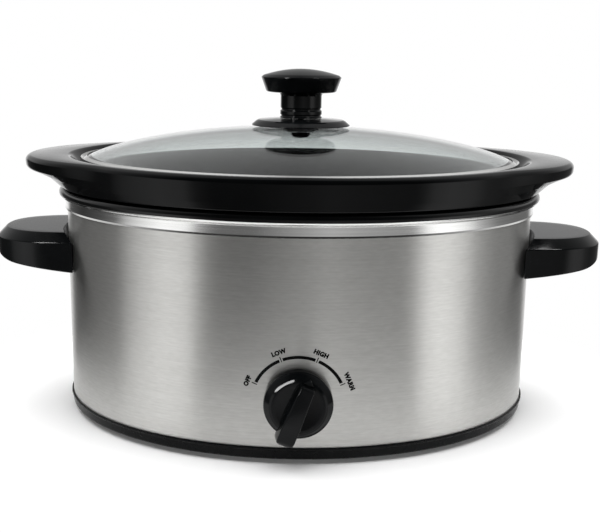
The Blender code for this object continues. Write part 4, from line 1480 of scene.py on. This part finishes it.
@dataclass(frozen=True)
class Dial:
    """The control dial: a skirted disc with a dished face, a wedge-sided bar and a pointer."""

    radius: float = 19.8
    clearance: float = 0.9
    face: float = 10.5
    reach: float = 17.0
    dish: float = 0.9
    dish_steps: int = 10
    bevel: float = 3.2
    chamfer: float = 1.4
    hub: float = 5.6
    shaft: float = 3.2
    bar_tail: float = -22.4
    bar_head: float = 14.6
    bar_top_half: float = 5.0
    bar_root_half: float = 6.2
    pointer_tip: float = 18.4

    def build(self) -> None:
        """Makes the disc, the bar and the pointer as one moulding."""
        place = DialAxis().matrix()
        disc = turned(self.disc_profile(), place)
        mesh = shaped(disc, bosses=[self.bar(place), self.pointer(place)])
        dressed("control_dial", mesh, DIAL_GLOSS, Body.DIAL, Slot.PLASTIC, ["control_knob"], 32.0)

    def disc_profile(self) -> list[Point]:
        """Gives the disc's section, from the middle of its face to the top of the shaft's bore.

        Returns:
            The points: radius and distance from the wrap.
        """
        outer, low, under = self.radius - self.bevel, self.clearance, self.face - 5.4
        rim = outer - self.chamfer
        level = self.face - 0.8
        ledge = level - self.chamfer * 0.58
        bore = self.face - 2.7
        dished = []
        for i in range(self.dish_steps + 1):
            depth = self.dish * (1 - (i / self.dish_steps) ** 2)
            dished.append((rim * 0.94 * i / self.dish_steps, level - depth))
        edge = rounded((
            (rim * 0.94, level), (rim, level, 0.3), (outer, ledge, 0.5),
            (self.radius, ledge - self.bevel, 2.2), (self.radius, low, 0.4),
            (self.radius - 1.6, low, 0.4), (self.radius - 1.9, under, 1.0), (self.hub, under, 0.8),
            (self.hub, low + 0.4, 0.3), (self.shaft, low + 0.4, 0.3), (self.shaft, bore),
        ))
        return [*dished, *edge[1:], (0.0, bore)]

    def bar(self, place: Matrix) -> Mesh:
        """Makes the bar: a loft of wedge sections, rounded at both ends.

        Args:
            place: the dial's own frame.

        Returns:
            The bar's closed mesh.
        """
        root = self.face - 4.2
        stations = (
            (self.bar_tail, 0.62, 0.80, 3.4), (self.bar_tail + 0.5, 0.80, 0.90, 2.6),
            (self.bar_tail + 1.6, 0.94, 0.97, 1.2), (self.bar_tail + 3.6, 1.0, 1.0, 0.4),
            (-8.0, 1.0, 1.0, 0.0), (4.0, 0.88, 0.92, 0.0), (9.6, 0.82, 0.88, 0.4),
            (self.bar_head - 1.6, 0.79, 0.86, 1.0), (self.bar_head - 0.5, 0.74, 0.83, 2.0),
            (self.bar_head, 0.66, 0.78, 3.2),
        )
        rings = []
        for y, top_share, root_share, drop in stations:
            top = self.reach - drop
            high, low = self.bar_top_half * top_share, self.bar_root_half * root_share
            corners = ((-low, root, 0.3), (-high, top, 1.0), (high, top, 1.0), (low, root, 0.3))
            rings.append([place @ Vector((x, y, z)) for x, z in rounded(corners, closed=True)])
        return lofted(rings, caps=True)

    def pointer(self, place: Matrix) -> Mesh:
        """Makes the raised arrow between the bar's head and the rim.

        Args:
            place: the dial's own frame.

        Returns:
            The arrow's closed mesh.
        """
        root, top = self.face - 4.0, self.face + 1.1
        shoulder, stem, barb, foot = self.bar_head + 0.6, 1.3, 3.0, 8.0
        left = [(-barb, shoulder), (-stem, shoulder), (-stem, foot)]
        right = [(stem, foot), (stem, shoulder), (barb, shoulder)]
        rings = []
        for inset, height in ((0.0, root), (0.0, top - 0.5), (0.25, top - 0.1), (0.5, top)):
            ring = []
            for x, y in [*left, *right, (0.0, self.pointer_tip)]:
                ring.append(place @ Vector((x * (1 - inset / 4), y - inset * (y > shoulder), height)))
            rings.append(ring)
        return lofted(rings, caps=True)


# ---------------------------------------------------------------------------- crock


@dataclass(frozen=True)
class Crock:
    """The stoneware pot: tapered wall, seat for the lid, deep rim band and a grip at each end."""

    grip_spread: float = 43.0
    grip_power: float = 1.3
    floor_above_base: float = 10.0

    def build(self) -> None:
        """Makes the pot."""
        low, high = node_box("crock")
        tip = high.x - OVAL.half_length
        side_rim = ((5.0, 0.0, 3.6), (5.0, -9.4, 1.0), (4.9, -14.4, 1.0), (4.4, -18.9, 1.4))
        grip_rim = ((tip, -0.1, 3.4), (tip - 0.6, -7.6, 3.4), (tip - 12.0, -10.6, 7.0), (4.2, -18.9, 1.6))
        plain, grip = (self.section(low.z, high.z, rim) for rim in (side_rim, grip_rim))
        columns = []
        for angle in full_turn(OVAL_STEPS):
            profile = blended(plain, grip, self.grip_share(angle))
            columns.append([OVAL.at(angle, offset, height) for offset, height in profile])
        rings = [[column[k] for column in columns] for k in range(len(plain))]
        dressed("stoneware_crock", lofted(rings, caps=True), GLAZE, Body.CROCK, Slot.GLAZE, ["crock"])

    def section(self, base: float, top: float, rim: Sequence[Size]) -> list[Point]:
        """Gives the pot's section for one shape of rim.

        Args:
            base: the height of the pot's underside.
            top: the height of its rim.
            rim: the rim's outer corners: offset, height below the top, and radius.

        Returns:
            The profile from the middle of the floor inside to the middle of the underside.
        """
        floor = base + self.floor_above_base
        return rounded((
            (-44.0, floor), (-32.2, floor, 11.0), (-20.2, top - 5.9, 3.0), (-6.4, top - 5.4, 2.4),
            (-2.2, top, 3.2), *((offset, top + drop, radius) for offset, drop, radius in rim),
            (-1.6, base + 116.3, 1.5), (-6.4, base + 114.4, 3.0), (-10.4, base + 108.0, 6.0),
            (-23.0, base + 8.0, 5.0), (-29.0, base, 3.0), (-36.0, base),
        ))

    def grip_share(self, angle: float) -> float:
        """Gives how much of the grip's shape the rim has: 1 at each end and 0 along the sides.

        Args:
            angle: the oval's own angle, in radians.

        Returns:
            The share.
        """
        from_end = abs(math.degrees(math.asin(math.sin(angle))))
        if from_end >= self.grip_spread:
            return 0.0
        return 0.5 * (1 + math.cos(math.pi * (from_end / self.grip_spread) ** self.grip_power))


# ---------------------------------------------------------------------------- lid


@dataclass(frozen=True)
class Lid:
    """The glass dome, its steel band, and the knob with its collar."""

    inset: float = 10.1
    edge: float = 162.2
    rise: float = 22.0
    wall: float = 4.0
    screw_hole: float = 3.4
    knob_bore: float = 2.5
    knob_bore_depth: float = 16.0
    cap_radius: float = 25.9
    cap_fall: float = 4.6
    cap_share: float = 0.94
    cap_steps: int = 12
    band_wall: float = 0.5
    gap: float = 0.3
    dome_steps: int = 44

    def build(self) -> None:
        """Makes the lid's pieces."""
        self.build_glass()
        self.build_band()
        self.build_knob()
        self.build_collar()

    def height(self, share: float) -> float:
        """Gives the height of the dome's top face at a share of the way to its edge."""
        return self.edge + self.rise * (1 - share**2) ** 0.75

    def ring(self, share: float, height: float) -> Ring:
        """Gives one ring of the lid's plan."""
        return OVAL.scaled_ring(share, self.inset, height)

    def hole(self, height: float) -> Ring:
        """Gives the edge of the screw's hole at a height."""
        r, turns = self.screw_hole, full_turn(OVAL_STEPS)
        return [Vector((r * math.cos(a), r * math.sin(a) + OVAL.centre_y, height)) for a in turns]

    def build_glass(self) -> None:
        """Makes the dome with its hole for the knob's screw."""
        crown, lowest, steps = self.height(0.0), self.edge - 1.1, self.dome_steps
        shares = [0.985 * math.sin(math.pi / 2 * i / steps) for i in range(3, steps + 1)]
        top = [(share, self.height(share)) for share in shares]
        under = [(share * 0.988, max(height - self.wall, lowest)) for share, height in reversed(top)]
        edge = [
            (0.994, self.height(0.994)), (0.999, self.edge + 0.3), (1.0, self.edge - 0.3),
            (0.9985, self.edge - 0.9), (0.992, self.edge - 1.2), (0.982, self.edge - 1.15),
        ]
        rings = [self.ring(share, height) for share, height in (*top, *edge, *under)]
        mesh = lofted([self.hole(crown), *rings, self.hole(crown - self.wall)], back_to_start=True)
        dressed("lid_dome", mesh, LID_GLASS, Body.LID, Slot.GLASS, ["lid_glass"], 50.0)

    def build_band(self) -> None:
        """Makes the steel band that is folded round the glass's edge."""
        outer = 1.0 + 0.9 / (OVAL.half_length - self.inset)
        bottom = self.edge - 1.2 - self.gap
        low, wall, lip, top_lip = bottom - self.band_wall, self.band_wall, 0.965, 0.978
        bend, bend_height, side = outer + 0.0015, self.edge + 1.9, outer + 0.0030
        section = (
            (top_lip, self.height(top_lip) + self.gap + wall), (0.988, self.height(0.988) + self.gap + wall),
            (0.9965, self.height(0.9965) + self.gap + wall * 0.9), (bend - 0.0012, bend_height + 0.3),
            (bend + 0.0006, bend_height - 0.5), (side, low + 1.6), (side, low + 0.7),
            (side - 0.0012, low + 0.15), (side - 0.0035, low), (lip, low), (lip, bottom),
            (outer - 0.003, bottom), (outer - 0.002, self.edge + 0.5),
            (0.993, self.height(0.993) + self.gap), (top_lip, self.height(top_lip) + self.gap),
        )
        mesh = lofted([self.ring(share, height) for share, height in section], back_to_start=True)
        dressed("lid_edge_band", mesh, LID_STEEL, Body.LID, Slot.RIM, ["lid_band"])

    def build_knob(self) -> None:
        """Turns the knob: a shallow cap with a crisp rim on a ringed stem."""
        low, high = node_box("lid_knob")
        top, seat, bore, inner = high.z, low.z, self.knob_bore, high.z - self.knob_bore_depth
        share, fall, steps = self.cap_share, self.cap_fall, self.cap_steps
        dome = []
        for i in range(steps + 1):
            dome.append((self.cap_radius * share * i / steps, top - fall * (share * i / steps) ** 2))
        rest = rounded((
            (self.cap_radius * share, top - fall * share**2), (self.cap_radius, top - 5.4, 0.7),
            (22.6, top - 14.6, 1.6), (14.0, top - 15.6, 0.8), (13.3, top - 17.0, 1.0),
            (13.3, seat + 6.6, 0.4), (12.7, seat + 6.0, 0.3), (12.7, seat + 5.2, 0.3),
            (13.5, seat + 4.6, 0.4), (13.5, seat + 2.4, 0.4), (12.9, seat + 1.9, 0.3),
            (12.9, seat + 1.2, 0.3), (13.6, seat + 0.7, 0.4), (13.6, seat, 0.2),
            (bore, seat, 0.2), (bore, inner),
        ))
        mesh = turned([*dome, *rest[1:], (0.0, inner)], upright())
        dressed("turned_knob", mesh, KNOB_GLOSS, Body.LID, Slot.PLASTIC, ["lid_knob"])

    def build_collar(self) -> None:
        """Turns the flared collar under the knob."""
        low, high = node_box("knob_collar")
        top, foot, radius, bore = high.z, low.z, high.x, self.knob_bore
        corners = (
            (bore, top), (15.0, top, 0.6), (27.6, top - 0.9, 1.2), (29.0, top - 1.6, 1.2),
            (radius, foot + 0.4, 0.3), (radius - 0.4, foot, 0.2), (26.0, foot + 0.9, 0.8),
            (11.8, foot + 0.9, 0.2), (11.8, foot + 1.5, 0.2), (bore, foot + 1.5),
        )
        mesh = turned(rounded(corners, closed=True), upright(), ring=True)
        dressed("knob_flare", mesh, KNOB_GLOSS, Body.LID, Slot.PLASTIC, ["knob_collar"])


# ---------------------------------------------------------------------------- carried-over nodes


@dataclass(frozen=True)
class Workings:
    """The frame's own nodes that show as they are, each in its finish."""

    finishes: tuple[tuple[Finish, tuple[str, ...]], ...] = (
        (FOOT_RUBBER, FEET),
        (SILICONE, ("knob_gasket",)),
        (HEATER_CLOTH, ("heater_band",)),
        (SLEEVE, ("lead_live", "lead_low", "lead_high", "lead_neutral", "lead_fuse")),
        (RESIN, ("switch_housing", "switch_cover", "terminal_block")),
        (BLACK_GLOSS, ("switch_rotor", "cord_gland", "gland_nut", "knob_screw")),
        (BRASS, ("heater_terminal_left", "heater_terminal_right", "heater_terminal_rear")),
        (BRASS, ("switch_terminal_left", "switch_terminal_centre", "switch_terminal_right")),
        (PLATED_STEEL, ("heater_strap", "strap_bolt", "strap_nut", "thermal_fuse", "fuse_clip")),
        (PLATED_STEEL, ("tie_stud", "tie_washer", "tie_nut", "switch_screw_left", "switch_screw_right")),
        (PLATED_STEEL, ("switch_shaft", "handle_screw_left_front", "handle_screw_left_rear")),
        (PLATED_STEEL, ("handle_screw_right_front", "handle_screw_right_rear", "knob_washer")),
    )

    def build(self) -> None:
        """Gives each node its finish."""
        for finish, nodes in self.finishes:
            for node in nodes:
                piece = frame["nodes"][node]
                piece.data.materials.clear()
                piece.data.materials.append(finish.material())
                LOG.info("%s: in %s", node, finish.name)


GLOSSY_PIECES = ("side_handle_left", "side_handle_right", "turned_knob", "knob_flare")
UPRIGHT_LINE = (0.0, 0.0, 1.0)
DIAL_LINE = (0.79, -0.16, 0.59)
GLINTS = (
    Glint("left_glint", (-640.0, -620.0, 700.0), UPRIGHT_LINE, 110.0, 700.0, 9.0, GLOSSY_PIECES),
    Glint("right_glint", (700.0, -560.0, 1050.0), UPRIGHT_LINE, 110.0, 600.0, 7.0, GLOSSY_PIECES),
    Glint("dial_glint", (-457.0, -786.0, 481.0), DIAL_LINE, 70.0, 760.0, 9.0, ("control_dial",)),
)


def main() -> None:
    """Builds the studio and every assembly, in order."""
    logging.basicConfig(level=logging.INFO, format="%(message)s")
    builders: list[Callable[[], None]] = [
        Viewpoint().build,
        Studio().build,
        BasePan().build,
        SteelWrap().build,
        Well().build,
        DialScale().build,
        *(SideHandle(side).build for side in Side),
        Dial().build,
        Crock().build,
        Lid().build,
        Workings().build,
        *(glint.build for glint in GLINTS),
    ]
    for build in builders:
        build()


if __name__ == "__main__":
    main()
